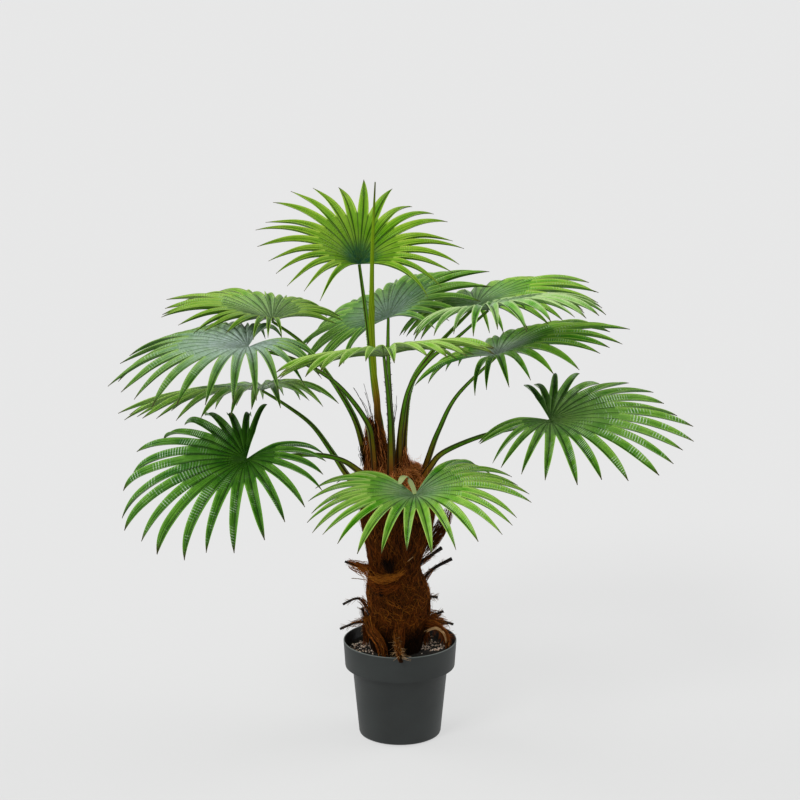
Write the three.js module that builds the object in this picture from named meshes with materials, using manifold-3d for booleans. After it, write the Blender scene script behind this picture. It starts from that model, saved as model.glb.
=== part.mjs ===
// Artificial potted fan palm: twelve moulded fans and a spear leaf on a trunk wrapped in coir,
// held by a cement fill in a plastic nursery pot.
// Millimetres, +Z up, +X to the right and -Y to the front. The origin is under the pot's middle.
import * as THREE from "three";
import { mergeVertices } from "three/addons/utils/BufferGeometryUtils.js";
import Module from "manifold-3d";

const wasm = await Module();
wasm.setup();

const DEGREE = Math.PI / 180;

// Clearance between pieces that touch on the real plant
const GAP = 0.3;

// Pot: a rim band over a tapered body
const POT = {
  height: 165,
  rimRadius: 95,
  bandHeight: 45,
  bandFootRadius: 92,
  bodyTopRadius: 80,
  footRadius: 69,
  footRound: 4,
  ledgeRound: 1,
  lipRound: 0.8,
  wall: 2.5,
  floor: 4,
};
const POT_SIDES = 32;
const FILL_TOP = 148;

// Trunk: its outline as [height, lean along X, radius]
const TRUNK = [
  [FILL_TOP + GAP, -6, 40],
  [170, -6, 46],
  [207, -1, 50.5],
  [251, -3.5, 52],
  [293, -9, 42],
  [338, -5.5, 51.5],
  [372, -4, 60],
  [400, -5, 60],
  [430, -7, 57],
  [450, -8, 54],
  [462, -8, 48],
];
const TRUNK_SIDES = 20;
const TRUNK_MIDDLE = -5;

// Crown fibre: the tongue of coir that stands up round the spear leaf
const CROWN_FIBRE = [
  [462 + GAP, -34, 13],
  [500, -35, 12],
  [545, -37, 9],
  [580, -39, 5.5],
];
const CROWN_FIBRE_SIDES = 8;

// Stubs of cut leaves: angle round the trunk in degrees, then [reach from the trunk's middle,
// height] of the root, the bend and the tip
const STUBS = {
  stub_left_upper: [178, [36, 286], [62, 291], [87, 300]],
  stub_left_middle: [186, [44, 208], [63, 238], [91, 229]],
  stub_left_low: [190, [46, 200], [72, 197], [97, 188]],
  stub_left_upright: [172, [48, 198], [56, 206], [59, 217]],
  stub_right_top: [352, [38, 300], [58, 315], [75, 328]],
  stub_right_upper: [4, [36, 256], [57, 284], [92, 304]],
  stub_right_middle: [350, [42, 243], [56, 243], [69, 242]],
  stub_right_low: [8, [46, 200], [62, 204], [79, 210]],
  stub_right_foot: [354, [44, 197], [72, 199], [95, 194]],
  stub_back_upper: [98, [38, 300], [60, 312], [82, 326]],
  stub_back_middle: [64, [40, 250], [62, 262], [84, 268]],
  stub_back_low: [124, [44, 214], [66, 226], [88, 224]],
};
const STUB_ROD = { foot: 4.2, tip: 2.6, sides: 5, steps: 5 };

// Frayed sheath of an old leaf that stands off the right of the trunk
const SHEATH = [[36, 0, 318], [62, -4, 350], [76, -6, 378], [80, -6, 402]];
const SHEATH_ROD = { foot: 9, tip: 5, sides: 6, steps: 6 };

// Prop roots from the trunk's foot into the fill, the front one over the pot's rim
const ROOTS = {
  root_left_front: [[-42, -16, 200], [-50, -40, 180], [-38, -60, 162], [-25, -70, 140]],
  root_front: [[-10, -34, 196], [-8, -66, 182], [-4, -90, 173], [-1, -102, 160]],
  root_right: [[30, -12, 198], [58, -28, 194], [74, -33, 170], [75, -34, 140]],
  root_back_right: [[20, 30, 198], [32, 56, 182], [38, 70, 160], [38, 72, 140]],
  root_back_left: [[-34, 28, 198], [-54, 48, 180], [-62, 56, 160], [-62, 58, 140]],
};
const ROOT_ROD = { foot: 8, tip: 4.5, sides: 6, steps: 7 };
const FRONT_ROOT_ROD = { foot: 7, tip: 2.2, sides: 6, steps: 7 };

// Spear leaf: the unopened fan in the middle of the crown
const SPEAR = [
  [-34, 2, 520],
  [-38, 1, 580],
  [-42, 0, 620],
  [-46, 2, 700],
  [-45, 3, 820],
  [-40, 5, 939],
];
const SPEAR_ROD = { foot: 5.6, tip: 1.4, sides: 6, steps: 9 };

// Petioles: wire-like stems, thickest at the trunk, that run on a little way under the fan's hub,
// where the flat cut for the blade leaves this depth above the stem's middle line
const PETIOLE_ROD = { foot: 4.6, tip: 2.4, sides: 6, steps: 12 };
const PAST_HUB = 3;
const SEAT_DEPTH = 0.5;

// Fans: segments in each, the blade's thickness and how deep each segment is folded
const SEGMENTS = 23;
const BLADE = 2.5;
const PLEAT = 3;

// A segment's joined part is longest in the middle of the fan, as a share of its reach, and its
// free part is widest a little way beyond the notch
const WEB = { least: 0.28, more: 0.19 };
const LEAFLET = { width: 9.5, widest: 0.45 };

// Segments shorten towards the basal ones, and are a little uneven
const BASAL_ANGLE = 130 * DEGREE;
const ANGLE_EASE = 0.7;
const UNEVEN = { share: 0.03, waves: 9 };

// Droop grows along a rib and falls between the blade's own up and plumb
const DROOP_POWER = 1.5;
const DROOP_LEAN = { blade: 0.65, plumb: 0.35 };
const RIB_STEPS = 12;

// Fans: hub, aim of the blade, reach of its middle segment, opening angle, cupped angle at the
// hub, droop at the tips, share of the reach left at the basal segments, and the stem's route
const FANS = {
  top: {
    hub: [-67, 60, 799], heading: 103, pitch: 27, roll: 2,
    reach: 195, span: 270, cup: 24, droop: 45, basal: 0.8,
    stem: [[-29, 20, 440], [-31, 21, 520], [-41, 24, 580], [-49, 30, 653], [-54, 38, 698]],
  },
  back: {
    hub: [-20, 140, 686], heading: 85, pitch: 8, roll: -22,
    reach: 225, span: 270, cup: 15, droop: 50, basal: 0.6,
    stem: [[-13, 27, 440], [-14, 32, 516], [-17, 50, 567], [-20, 92, 637]],
  },
  left_back: {
    hub: [-212, 71, 698], heading: 145, pitch: 6, roll: -4,
    reach: 198, span: 270, cup: 22, droop: 55, basal: 0.7,
    stem: [[-50, 15, 440], [-60, 16, 491], [-77, 22, 546], [-116, 42, 607], [-162, 60, 661]],
  },
  left_upper: {
    hub: [-245, -55, 680], heading: 205, pitch: -9, roll: -2,
    reach: 235, span: 270, cup: 16, droop: 58, basal: 0.6,
    stem: [[-40, -17, 440], [-46, -18, 512], [-58, -22, 554], [-106, -34, 617], [-170, -48, 658]],
  },
  left_middle: {
    hub: [-229, 50, 583], heading: 189, pitch: -5, roll: 12,
    reach: 238, span: 260, cup: 12, droop: 42, basal: 0.75,
    stem: [[-50, 10, 398], [-87, 16, 445], [-112, 25, 482], [-146, 38, 526], [-188, 47, 557]],
  },
  left_low: {
    hub: [-247, -110, 508], heading: 213, pitch: -26, roll: -12,
    reach: 238, span: 285, cup: 19, droop: 62, basal: 0.72,
    stem: [[-42, -26, 440], [-64, -38, 465], [-98, -60, 494], [-150, -82, 508]],
  },
  front_upper: {
    hub: [-25, -190, 695], heading: 280, pitch: 14, roll: 3,
    reach: 200, span: 265, cup: 16, droop: 50, basal: 0.7,
    stem: [[-15, -33, 440], [-15, -42, 531], [-18, -82, 599]],
  },
  right_back: {
    hub: [128, 149, 706], heading: 56, pitch: 8, roll: -9,
    reach: 240, span: 270, cup: 10, droop: 50, basal: 0.5,
    stem: [[7, 16, 440], [5, 20, 523], [19, 44, 595], [57, 92, 643]],
  },
  right_upper: {
    hub: [141, -61, 742], heading: 310, pitch: 11, roll: 0,
    reach: 205, span: 267, cup: 15, droop: 52, basal: 0.65,
    stem: [[3, -13, 440], [0, -12, 530], [15, -12, 601], [47, -24, 651], [88, -42, 689]],
  },
  right_middle: {
    hub: [158, -20, 658], heading: 25, pitch: 15, roll: -9,
    reach: 220, span: 268, cup: 14, droop: 52, basal: 0.72,
    stem: [[34, 2, 435], [47, 0, 480], [64, -5, 529], [94, -12, 590]],
  },
  right_low: {
    hub: [243, -60, 560], heading: 338, pitch: -7, roll: 11,
    reach: 236, span: 260, cup: 15, droop: 40, basal: 0.7,
    stem: [[32, -20, 440], [50, -24, 472], [72, -29, 498], [130, -44, 528], [190, -56, 546]],
  },
  front_low: {
    hub: [24, -150, 460], heading: 282, pitch: -9, roll: 0,
    reach: 195, span: 275, cup: 18, droop: 57, basal: 0.95,
    stem: [[-8, -38, 425], [-2, -74, 450], [10, -110, 452]],
  },
};

// A closed geometry as a solid
function solidOf(geometry) {
  const bare = new THREE.BufferGeometry();
  bare.setAttribute("position", geometry.getAttribute("position"));
  bare.setIndex(geometry.getIndex());
  const merged = mergeVertices(bare, 1e-4);
  const mesh = new wasm.Mesh({
    numProp: 3,
    vertProperties: merged.getAttribute("position").array,
    triVerts: new Uint32Array(merged.getIndex().array),
  });
  return new wasm.Manifold(mesh);
}

// The largest piece of a solid as a geometry
function geometryOf(solid) {
  const pieces = solid.decompose();
  pieces.sort((a, b) => b.volume() - a.volume());
  const mesh = pieces[0].getMesh();
  const geometry = new THREE.BufferGeometry();
  geometry.setAttribute("position", new THREE.BufferAttribute(mesh.vertProperties, 3));
  geometry.setIndex(new THREE.BufferAttribute(mesh.triVerts, 1));
  return geometry;
}

// A solid of revolution round +Z from [radius, height] points, which start and end on the axis
function turned(points, sides) {
  const profile = points.map(([radius, height]) => new THREE.Vector2(radius, height));
  const geometry = new THREE.LatheGeometry(profile, sides);
  return geometry.rotateX(Math.PI / 2);
}

// A turned column that leans: levels are [height, lean along X, radius], grown by a margin
function column(levels, sides, margin = 0) {
  const heights = levels.map(([height]) => height);
  heights[0] -= margin;
  heights[heights.length - 1] += margin;
  const profile = levels.map(([, , radius], i) => [radius + margin, heights[i]]);
  const bottom = [0, heights[0]];
  const top = [0, heights.at(-1)];
  const geometry = turned([bottom, ...profile, top], sides);
  const place = geometry.getAttribute("position");
  for (let i = 0; i < place.count; i++) {
    const level = heights.findIndex((height) => Math.abs(height - place.getZ(i)) < 0.01);
    place.setX(i, place.getX(i) + levels[level][1]);
  }
  return geometry;
}

// A tapering rod along a smooth curve through points
function limb(points, { foot, tip, sides, steps }) {
  const path = new THREE.CatmullRomCurve3(points.map((point) => new THREE.Vector3(...point)));
  const frames = path.computeFrenetFrames(steps);
  const rod = new THREE.CylinderGeometry(tip, foot, 1, sides, steps);
  const place = rod.getAttribute("position");
  for (let i = 0; i < place.count; i++) {
    const step = Math.round((place.getY(i) + 0.5) * steps);
    const point = path.getPointAt(step / steps);
    point.addScaledVector(frames.normals[step], place.getX(i));
    point.addScaledVector(frames.binormals[step], -place.getZ(i));
    place.setXYZ(i, point.x, point.y, point.z);
  }
  return rod;
}

// A fan's own axes: out along its middle, to its left, and up out of the blade
function fanAxes({ heading, pitch, roll }) {
  const turn = heading * DEGREE;
  const lift = pitch * DEGREE;
  const out = new THREE.Vector3(
    Math.cos(turn) * Math.cos(lift),
    Math.sin(turn) * Math.cos(lift),
    Math.sin(lift),
  );
  const left = new THREE.Vector3(-Math.sin(turn), Math.cos(turn), 0);
  left.applyAxisAngle(out, roll * DEGREE);
  const up = new THREE.Vector3().crossVectors(out, left);
  return { out, left, up };
}

// Reach of the segment at an angle from the fan's middle, a little uneven from one to the next
function reachAt(fan, angle) {
  const fall = (1 - Math.cos(ANGLE_EASE * angle)) / (1 - Math.cos(ANGLE_EASE * BASAL_ANGLE));
  const uneven = 1 + UNEVEN.share * Math.sin(UNEVEN.waves * angle + fan.heading);
  return fan.reach * (1 - (1 - fan.basal) * fall) * uneven;
}

// Share of a segment's reach that is joined to its neighbours
function webAt(angle) {
  return WEB.least + WEB.more * Math.cos(ANGLE_EASE * angle) ** 2;
}

// A place on a fan's rib: the rib leaves the hub cupped upwards, then droops towards its tip
function ribAt(fan, angle, share) {
  const { out, left, up } = fanAxes(fan);
  const cup = fan.cup * DEGREE;
  const start = out.clone().multiplyScalar(Math.cos(angle) * Math.cos(cup));
  start.addScaledVector(left, Math.sin(angle) * Math.cos(cup));
  start.addScaledVector(up, Math.sin(cup));
  const lift = up.clone().multiplyScalar(DROOP_LEAN.blade);
  lift.z += DROOP_LEAN.plumb;
  lift.addScaledVector(start, -lift.dot(start)).normalize();
  const length = (reachAt(fan, angle) * share) / RIB_STEPS;
  const place = new THREE.Vector3(...fan.hub);
  for (let step = 0; step < RIB_STEPS; step++) {
    const bend = fan.droop * DEGREE * (((step + 0.5) / RIB_STEPS) * share) ** DROOP_POWER;
    place.addScaledVector(start, Math.cos(bend) * length);
    place.addScaledVector(lift, -Math.sin(bend) * length);
  }
  const bend = fan.droop * DEGREE * share ** DROOP_POWER;
  const along = start.clone().multiplyScalar(Math.cos(bend)).addScaledVector(lift, -Math.sin(bend));
  const normal = lift.clone().multiplyScalar(Math.cos(bend)).addScaledVector(start, Math.sin(bend));
  const across = new THREE.Vector3().crossVectors(normal, along);
  return { place, normal, across };
}

// A fan's blade, cut between its segments down to the web, each segment folded to a shallow V
function fanBlade(fan) {
  const positions = [];
  const faces = [];
  const addPoint = (angle, share, sideways, rise) => {
    const { place, normal, across } = ribAt(fan, angle, share);
    place.addScaledVector(across, sideways).addScaledVector(normal, rise);
    positions.push(...place.clone().addScaledVector(normal, BLADE / 2).toArray());
    positions.push(...place.clone().addScaledVector(normal, -BLADE / 2).toArray());
    return positions.length / 3 - 2;
  };
  const addFace = (a, b, c) => {
    faces.push(a, b, c);
    faces.push(a + 1, c + 1, b + 1);
  };
  const addWall = (a, b) => {
    faces.push(b, a, a + 1);
    faces.push(b, a + 1, b + 1);
  };
  const step = (fan.span * DEGREE) / (SEGMENTS - 1);
  const first = -(fan.span * DEGREE + step) / 2;
  const hub = addPoint(0, 0, 0, 0);
  const notches = [];
  for (let i = 0; i <= SEGMENTS; i++) {
    const angle = first + i * step;
    notches.push(addPoint(angle, webAt(angle), 0, PLEAT / 2));
  }
  for (let i = 0; i < SEGMENTS; i++) {
    const angle = first + (i + 0.5) * step;
    const web = webAt(angle);
    const halfWidth = (web * reachAt(fan, angle) * Math.sin(step / 2) + LEAFLET.width) / 2;
    const middle = web + LEAFLET.widest * (1 - web);
    const right = notches[i];
    const left = notches[i + 1];
    const fold = addPoint(angle, web, 0, -PLEAT / 2);
    const midFold = addPoint(angle, middle, 0, -PLEAT / 2);
    const midRight = addPoint(angle, middle, -halfWidth, PLEAT / 2);
    const midLeft = addPoint(angle, middle, halfWidth, PLEAT / 2);
    const tip = addPoint(angle, 1, 0, 0);
    addFace(hub, right, fold);
    addFace(hub, fold, left);
    addFace(right, midRight, midFold);
    addFace(right, midFold, fold);
    addFace(fold, midFold, midLeft);
    addFace(fold, midLeft, left);
    addFace(midRight, tip, midFold);
    addFace(midFold, tip, midLeft);
    addWall(right, midRight);
    addWall(midRight, tip);
    addWall(tip, midLeft);
    addWall(midLeft, left);
  }
  addWall(hub, notches[0]);
  addWall(notches[SEGMENTS], hub);
  const geometry = new THREE.BufferGeometry();
  geometry.setAttribute("position", new THREE.Float32BufferAttribute(positions, 3));
  geometry.setIndex(faces);
  return geometry;
}

// A fan's petiole, cut clear of what it grows from and of the blade's hub above it
function petiole(fan, carriers) {
  const { up } = fanAxes(fan);
  const hub = new THREE.Vector3(...fan.hub);
  const underBlade = BLADE / 2 + GAP;
  const seat = hub.clone().addScaledVector(up, -underBlade - SEAT_DEPTH);
  const approach = seat.clone().sub(new THREE.Vector3(...fan.stem.at(-1))).normalize();
  const beyond = seat.clone().addScaledVector(approach, PAST_HUB);
  let stem = solidOf(limb([...fan.stem, seat.toArray(), beyond.toArray()], PETIOLE_ROD));
  for (const carrier of carriers) {
    stem = stem.subtract(carrier);
  }
  const below = stem.trimByPlane(up.clone().negate().toArray(), underBlade - up.dot(hub));
  return geometryOf(below);
}

// Pot shell, open at the top, with its rim band standing proud of the body
function potShell() {
  const { height, rimRadius, bandHeight, bandFootRadius, bodyTopRadius, footRadius, footRound } = POT;
  const { ledgeRound, lipRound, wall, floor } = POT;
  const ledge = height - bandHeight;
  return turned(
    [
      [0, 0],
      [footRadius - footRound, 0],
      [footRadius - footRound * 0.3, footRound * 0.3],
      [footRadius, footRound],
      [bodyTopRadius, ledge],
      [bandFootRadius - ledgeRound, ledge],
      [bandFootRadius, ledge + ledgeRound],
      [rimRadius, height - lipRound],
      [rimRadius - lipRound, height],
      [rimRadius - wall + lipRound, height],
      [rimRadius - wall, height - lipRound],
      [bandFootRadius - wall, ledge + wall],
      [bodyTopRadius - wall, ledge + wall],
      [footRadius - wall, floor],
      [0, floor],
    ],
    POT_SIDES,
  );
}

// Cement and soil that fill the pot up to below its rim
function potFill() {
  const { height, rimRadius, bandHeight, bandFootRadius, bodyTopRadius, footRadius, wall, floor } = POT;
  const ledge = height - bandHeight + wall + GAP;
  const bandSlope = (rimRadius - bandFootRadius) / bandHeight;
  const clear = wall + 2 * GAP;
  return turned(
    [
      [0, floor + GAP],
      [footRadius - clear, floor + GAP],
      [bodyTopRadius - clear, ledge],
      [bandFootRadius - clear, ledge],
      [bandFootRadius - clear + bandSlope * (FILL_TOP - ledge), FILL_TOP],
      [0, FILL_TOP],
    ],
    POT_SIDES,
  );
}

// A stub of a cut leaf, bent in the upright plane at an angle round the trunk
function stub([angle, ...route]) {
  const points = route.map(([reach, height]) => [
    TRUNK_MIDDLE + reach * Math.cos(angle * DEGREE),
    reach * Math.sin(angle * DEGREE),
    height,
  ]);
  return limb(points, STUB_ROD);
}

const COIR = new THREE.MeshStandardMaterial({ color: 0x5a3216, roughness: 0.95, metalness: 0 });
const OLD_LEAF = new THREE.MeshStandardMaterial({ color: 0x241810, roughness: 0.8, metalness: 0 });
const STEM = new THREE.MeshStandardMaterial({ color: 0x4a6a28, roughness: 0.6, metalness: 0 });
const SPEAR_GREEN = new THREE.MeshStandardMaterial({ color: 0x8a9a2a, roughness: 0.5, metalness: 0 });
const LEAF = new THREE.MeshStandardMaterial({ color: 0x4a8a20, roughness: 0.45, metalness: 0 });
const POT_PLASTIC = new THREE.MeshStandardMaterial({ color: 0x3c3f3e, roughness: 0.6, metalness: 0 });
const FILL = new THREE.MeshStandardMaterial({ color: 0x1c1814, roughness: 1, metalness: 0 });

const palm = new THREE.Group();

function add(name, geometry, material) {
  const mesh = new THREE.Mesh(geometry, material);
  mesh.name = name;
  palm.add(mesh);
}

// Pot and what fills it
add("pot", potShell(), POT_PLASTIC);
add("pot_fill", potFill(), FILL);

// Trunk and the tongue of coir on it
add("trunk", column(TRUNK, TRUNK_SIDES), COIR);
add("crown_fibre", column(CROWN_FIBRE, CROWN_FIBRE_SIDES), COIR);
const trunkSpace = solidOf(column(TRUNK, TRUNK_SIDES, GAP));
const fibreSpace = solidOf(column(CROWN_FIBRE, CROWN_FIBRE_SIDES, GAP));

// Prop roots, cut off at the fill's surface
const fillFace = FILL_TOP + GAP;
for (const [name, route] of Object.entries(ROOTS)) {
  const rod = name === "root_front" ? FRONT_ROOT_ROD : ROOT_ROD;
  const root = solidOf(limb(route, rod)).subtract(trunkSpace);
  add(name, geometryOf(root.trimByPlane([0, 0, 1], fillFace)), COIR);
}

// Stubs and the frayed sheath on the trunk
for (const [name, route] of Object.entries(STUBS)) {
  add(name, geometryOf(solidOf(stub(route)).subtract(trunkSpace)), OLD_LEAF);
}
add("old_sheath", geometryOf(solidOf(limb(SHEATH, SHEATH_ROD)).subtract(trunkSpace)), COIR);

// Spear leaf
const spear = solidOf(limb(SPEAR, SPEAR_ROD)).subtract(fibreSpace);
add("spear_leaf", geometryOf(spear), SPEAR_GREEN);

// Fans on their petioles
for (const [name, fan] of Object.entries(FANS)) {
  add(`petiole_${name}`, petiole(fan, [trunkSpace, fibreSpace]), STEM);
  add(`frond_${name}`, fanBlade(fan), LEAF);
}

export default palm;
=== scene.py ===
import math

import bmesh
import bpy
from mathutils import Matrix, Vector, noise


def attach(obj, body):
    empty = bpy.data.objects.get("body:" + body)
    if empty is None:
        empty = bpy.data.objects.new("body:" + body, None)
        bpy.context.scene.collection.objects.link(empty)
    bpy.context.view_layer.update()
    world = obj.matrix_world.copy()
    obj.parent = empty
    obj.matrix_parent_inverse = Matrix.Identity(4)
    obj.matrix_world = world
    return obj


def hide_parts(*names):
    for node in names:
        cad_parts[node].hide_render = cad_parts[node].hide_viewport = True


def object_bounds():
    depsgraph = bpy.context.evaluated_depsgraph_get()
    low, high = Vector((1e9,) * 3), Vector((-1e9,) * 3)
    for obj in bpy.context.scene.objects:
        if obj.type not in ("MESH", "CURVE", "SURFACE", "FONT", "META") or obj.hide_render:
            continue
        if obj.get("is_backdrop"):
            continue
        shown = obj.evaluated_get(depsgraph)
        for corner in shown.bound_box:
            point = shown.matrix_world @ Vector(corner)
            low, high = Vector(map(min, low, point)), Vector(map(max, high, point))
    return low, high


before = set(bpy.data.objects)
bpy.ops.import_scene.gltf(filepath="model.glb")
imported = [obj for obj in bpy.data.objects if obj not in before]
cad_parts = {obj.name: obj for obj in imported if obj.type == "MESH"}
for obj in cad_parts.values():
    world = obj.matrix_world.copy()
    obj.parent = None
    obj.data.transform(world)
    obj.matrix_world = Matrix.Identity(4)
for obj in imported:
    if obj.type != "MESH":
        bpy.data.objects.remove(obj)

cad_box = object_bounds()
MM = 0.001


# Nursery pot
# A thin injection-moulded polypropylene pot, dark grey, with a rim band that stands proud of the
# tapered body. It stands on its flat underside and is open at the top.
POT_PROFILE = [
    (0, 0), (62, 0), (65.5, 0.4), (68, 1.8), (69, 4.4), (74.5, 62), (80, 119.6), (80.6, 120),
    (91.2, 120), (91.9, 120.3), (92.2, 121.2), (94.6, 158), (95, 163.9), (94.8, 164.7),
    (94.1, 165), (93.3, 165), (92.8, 164.7), (92.5, 164.1), (89.8, 123), (89.2, 122.5),
    (77.6, 122.5), (77, 121.8), (71.8, 62), (66.6, 5), (65.6, 4), (0, 4),
]
POT_SIDES = 128


def put(name, data):
    """An object in the scene, at the origin, with its mesh, lamp or lens."""
    thing = bpy.data.objects.new(name, data)
    bpy.context.scene.collection.objects.link(thing)
    return thing


def turned(name, profile, sides):
    """Turn a [radius, height] profile in millimetres round +Z into a smooth closed mesh."""
    shape = bmesh.new()
    rings = []
    for radius, height in profile:
        if radius == 0:
            rings.append([shape.verts.new((0, 0, height * MM))] * sides)
            continue
        turns = [math.tau * i / sides for i in range(sides)]
        ring = [(radius * MM * math.cos(a), radius * MM * math.sin(a), height * MM) for a in turns]
        rings.append([shape.verts.new(place) for place in ring])
    for lower, upper in zip(rings, rings[1:]):
        for i in range(sides):
            j = (i + 1) % sides
            corners = [lower[i], lower[j], upper[j], upper[i]]
            shape.faces.new(list(dict.fromkeys(corners)))
    bmesh.ops.recalc_face_normals(shape, faces=shape.faces)
    for face in shape.faces:
        face.smooth = True
    mesh = bpy.data.meshes.new(name)
    shape.to_mesh(mesh)
    shape.free()
    return put(name, mesh)


def linear(code):
    """An sRGB hex colour as linear red, green, blue and alpha."""
    parts = [int(code[i:i + 2], 16) / 255 for i in (1, 3, 5)]
    return (*[c / 12.92 if c <= 0.04045 else ((c + 0.055) / 1.055) ** 2.4 for c in parts], 1)


def feed(node, links):
    """Give a value or another node's socket to the node's inputs in use, as a list in their order
    or by name or place."""
    sockets = [socket for socket in node.inputs if socket.enabled]
    named = {socket.name: socket for socket in reversed(sockets)}
    for place, value in enumerate(links) if isinstance(links, list) else links.items():
        socket = named[place] if isinstance(place, str) else sockets[place]
        if isinstance(value, bpy.types.NodeSocket):
            node.id_data.links.new(value, socket)
        else:
            socket.default_value = value


def add(tree, kind, links=None, stops=None, **settings):
    """Add a node with its settings, what feeds it, and the (place, hex) stops of a colour ramp. The
    first output in use is returned."""
    node = tree.nodes.new(kind)
    for setting, value in settings.items():
        setattr(node, setting, value)
    feed(node, links or {})
    for i, (place, code) in enumerate(stops or []):
        elements = node.color_ramp.elements
        element = elements[i] if i < len(elements) else elements.new(1)
        element.position = place
        element.color = linear(code)
    return next((socket for socket in node.outputs if socket.enabled), node)


def new_material(name):
    """A material with its Principled shader and its node tree."""
    material = bpy.data.materials.new(name)
    material.use_nodes = True
    return material, material.node_tree, material.node_tree.nodes["Principled BSDF"]


# Polypropylene is matt and a little waxy, with a fine spark-eroded grain from the mould, a painted
# highlight along the top of the lip, and painted shade that darkens the inside of the wall.
polypropylene, tree, shader = new_material("dark grey polypropylene")
place = add(tree, "ShaderNodeTexCoord").node.outputs["Object"]
cloud = add(tree, "ShaderNodeTexNoise", {"Vector": place, "Scale": 14.0, "Detail": 4.0})
grey = add(tree, "ShaderNodeValToRGB", {"Fac": cloud}, [(0.3, "#2a2d2c"), (0.7, "#323635")])
height = add(tree, "ShaderNodeSeparateXYZ", {"Vector": place}).node.outputs["Z"]
# Painted highlight: a pale band along the top of the lip.
lip = add(tree, "ShaderNodeMapRange", {"Value": height, "From Min": 0.1635, "From Max": 0.165})
shade = add(tree, "ShaderNodeMix", {"Factor": lip, "A": grey, "B": linear("#6c716f")},
            data_type="RGBA")
# Painted shade: faces of the wall that look inwards are mixed towards near black.
facing = add(tree, "ShaderNodeTexCoord").node.outputs["Normal"]
sideways = add(tree, "ShaderNodeVectorMath", [place, (1, 1, 0)], operation="MULTIPLY")
outward = add(tree, "ShaderNodeVectorMath", [sideways, facing],
              operation="DOT_PRODUCT").node.outputs["Value"]
painted_inner_shade = add(tree, "ShaderNodeMapRange",
             {"Value": outward, "From Min": -0.01, "From Max": -0.05, "To Max": 0.75})
shade = add(tree, "ShaderNodeMix", {"Factor": painted_inner_shade, "A": shade, "B": linear("#0a0b0a")},
            data_type="RGBA")
grain = add(tree, "ShaderNodeTexNoise", {"Vector": place, "Scale": 1400.0, "Detail": 2.0})
relief = add(tree, "ShaderNodeBump", {"Strength": 0.35, "Distance": 0.0002, "Height": grain})
feed(shader, {"Base Color": shade, "Normal": relief, "Roughness": 0.52, "IOR": 1.49})

pot_shell = turned("pot_shell", POT_PROFILE, POT_SIDES)
pot_shell.data.materials.append(polypropylene)
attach(pot_shell, "root")
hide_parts("pot")


# Soil
# Cement under a thin crust of dark potting soil fills the pot to 17 mm below its lip. The crust is
# uneven by a millimetre or two.
SOIL_TOP = 148
SOIL_CRUST = 1.6
soil_rings = [(radius, SOIL_TOP) for radius in range(90, 2, -2)]
soil_profile = [(0, 4.3), (65.5, 4.3), (76.9, 122.8), (88.9, 122.8), (90.6, 147), *soil_rings]
soil = turned("soil", [*soil_profile, (0, SOIL_TOP)], 96)
for point in soil.data.vertices:
    if point.co.z > (SOIL_TOP - 0.5) * MM:
        crumb = noise.fractal(point.co / (9 * MM), 1.0, 2.1, 4)
        point.co.z += SOIL_CRUST * MM * crumb

# Peat soil is matt, near black, and broken into crumbs of a few millimetres.
peat, tree, shader = new_material("dark peat soil")
place = add(tree, "ShaderNodeTexCoord").node.outputs["Object"]
crumbs = add(tree, "ShaderNodeTexNoise", {"Vector": place, "Scale": 320.0, "Detail": 6.0})
earth = add(tree, "ShaderNodeValToRGB", {"Fac": crumbs},
            [(0.35, "#0e0c0a"), (0.62, "#2a231c"), (0.75, "#4a3f33")])
relief = add(tree, "ShaderNodeBump", {"Strength": 1.0, "Distance": 0.0012, "Height": crumbs})
feed(shader, {"Base Color": earth, "Normal": relief, "Roughness": 0.95})
soil.data.materials.append(peat)
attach(soil, "root")
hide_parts("pot_fill")


# Pebbles
# Grit and small pale pebbles lie on top of the soil and clear of the pot's wall, most of them in two
# patches to the left and right of the trunk. They are real stones, 2 to 5 mm across, glued on.
def new_tree(name, sizes):
    """A Geometry Nodes tree with named inputs, and the sockets that bring them in."""
    tree = bpy.data.node_groups.new(name, "GeometryNodeTree")
    face = tree.interface
    face.new_socket("Geometry", in_out="INPUT", socket_type="NodeSocketGeometry")
    for size, kind in sizes.items():
        face.new_socket(size, in_out="INPUT", socket_type="NodeSocket" + kind)
    face.new_socket("Material", in_out="INPUT", socket_type="NodeSocketMaterial")
    face.new_socket("Geometry", in_out="OUTPUT", socket_type="NodeSocketGeometry")
    return tree, tree.nodes.new("NodeGroupInput").outputs


def close_tree(tree, geometry, material):
    """End a tree with real copies, smooth shading and the material, and return it."""
    real = add(tree, "GeometryNodeRealizeInstances", {"Geometry": geometry})
    smooth = add(tree, "GeometryNodeSetShadeSmooth", {"Geometry": real})
    dressed = add(tree, "GeometryNodeSetMaterial", {"Geometry": smooth, "Material": material})
    tree.links.new(dressed, tree.nodes.new("NodeGroupOutput").inputs[0])
    return tree


def grow(name, source, tree, sizes):
    """Run a tree on a source mesh and keep what it makes as the object's own plain mesh."""
    piece = put(name, source)
    modifier = piece.modifiers.new(tree.name, "NODES")
    modifier.node_group = tree
    for item in tree.interface.items_tree:
        if item.in_out == "INPUT" and item.name in sizes:
            modifier[item.identifier] = sizes[item.name]
    seen = piece.evaluated_get(bpy.context.evaluated_depsgraph_get())
    mesh = bpy.data.meshes.new_from_object(seen)
    mesh.name = name
    piece.modifiers.remove(modifier)
    piece.data = mesh
    return piece


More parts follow.
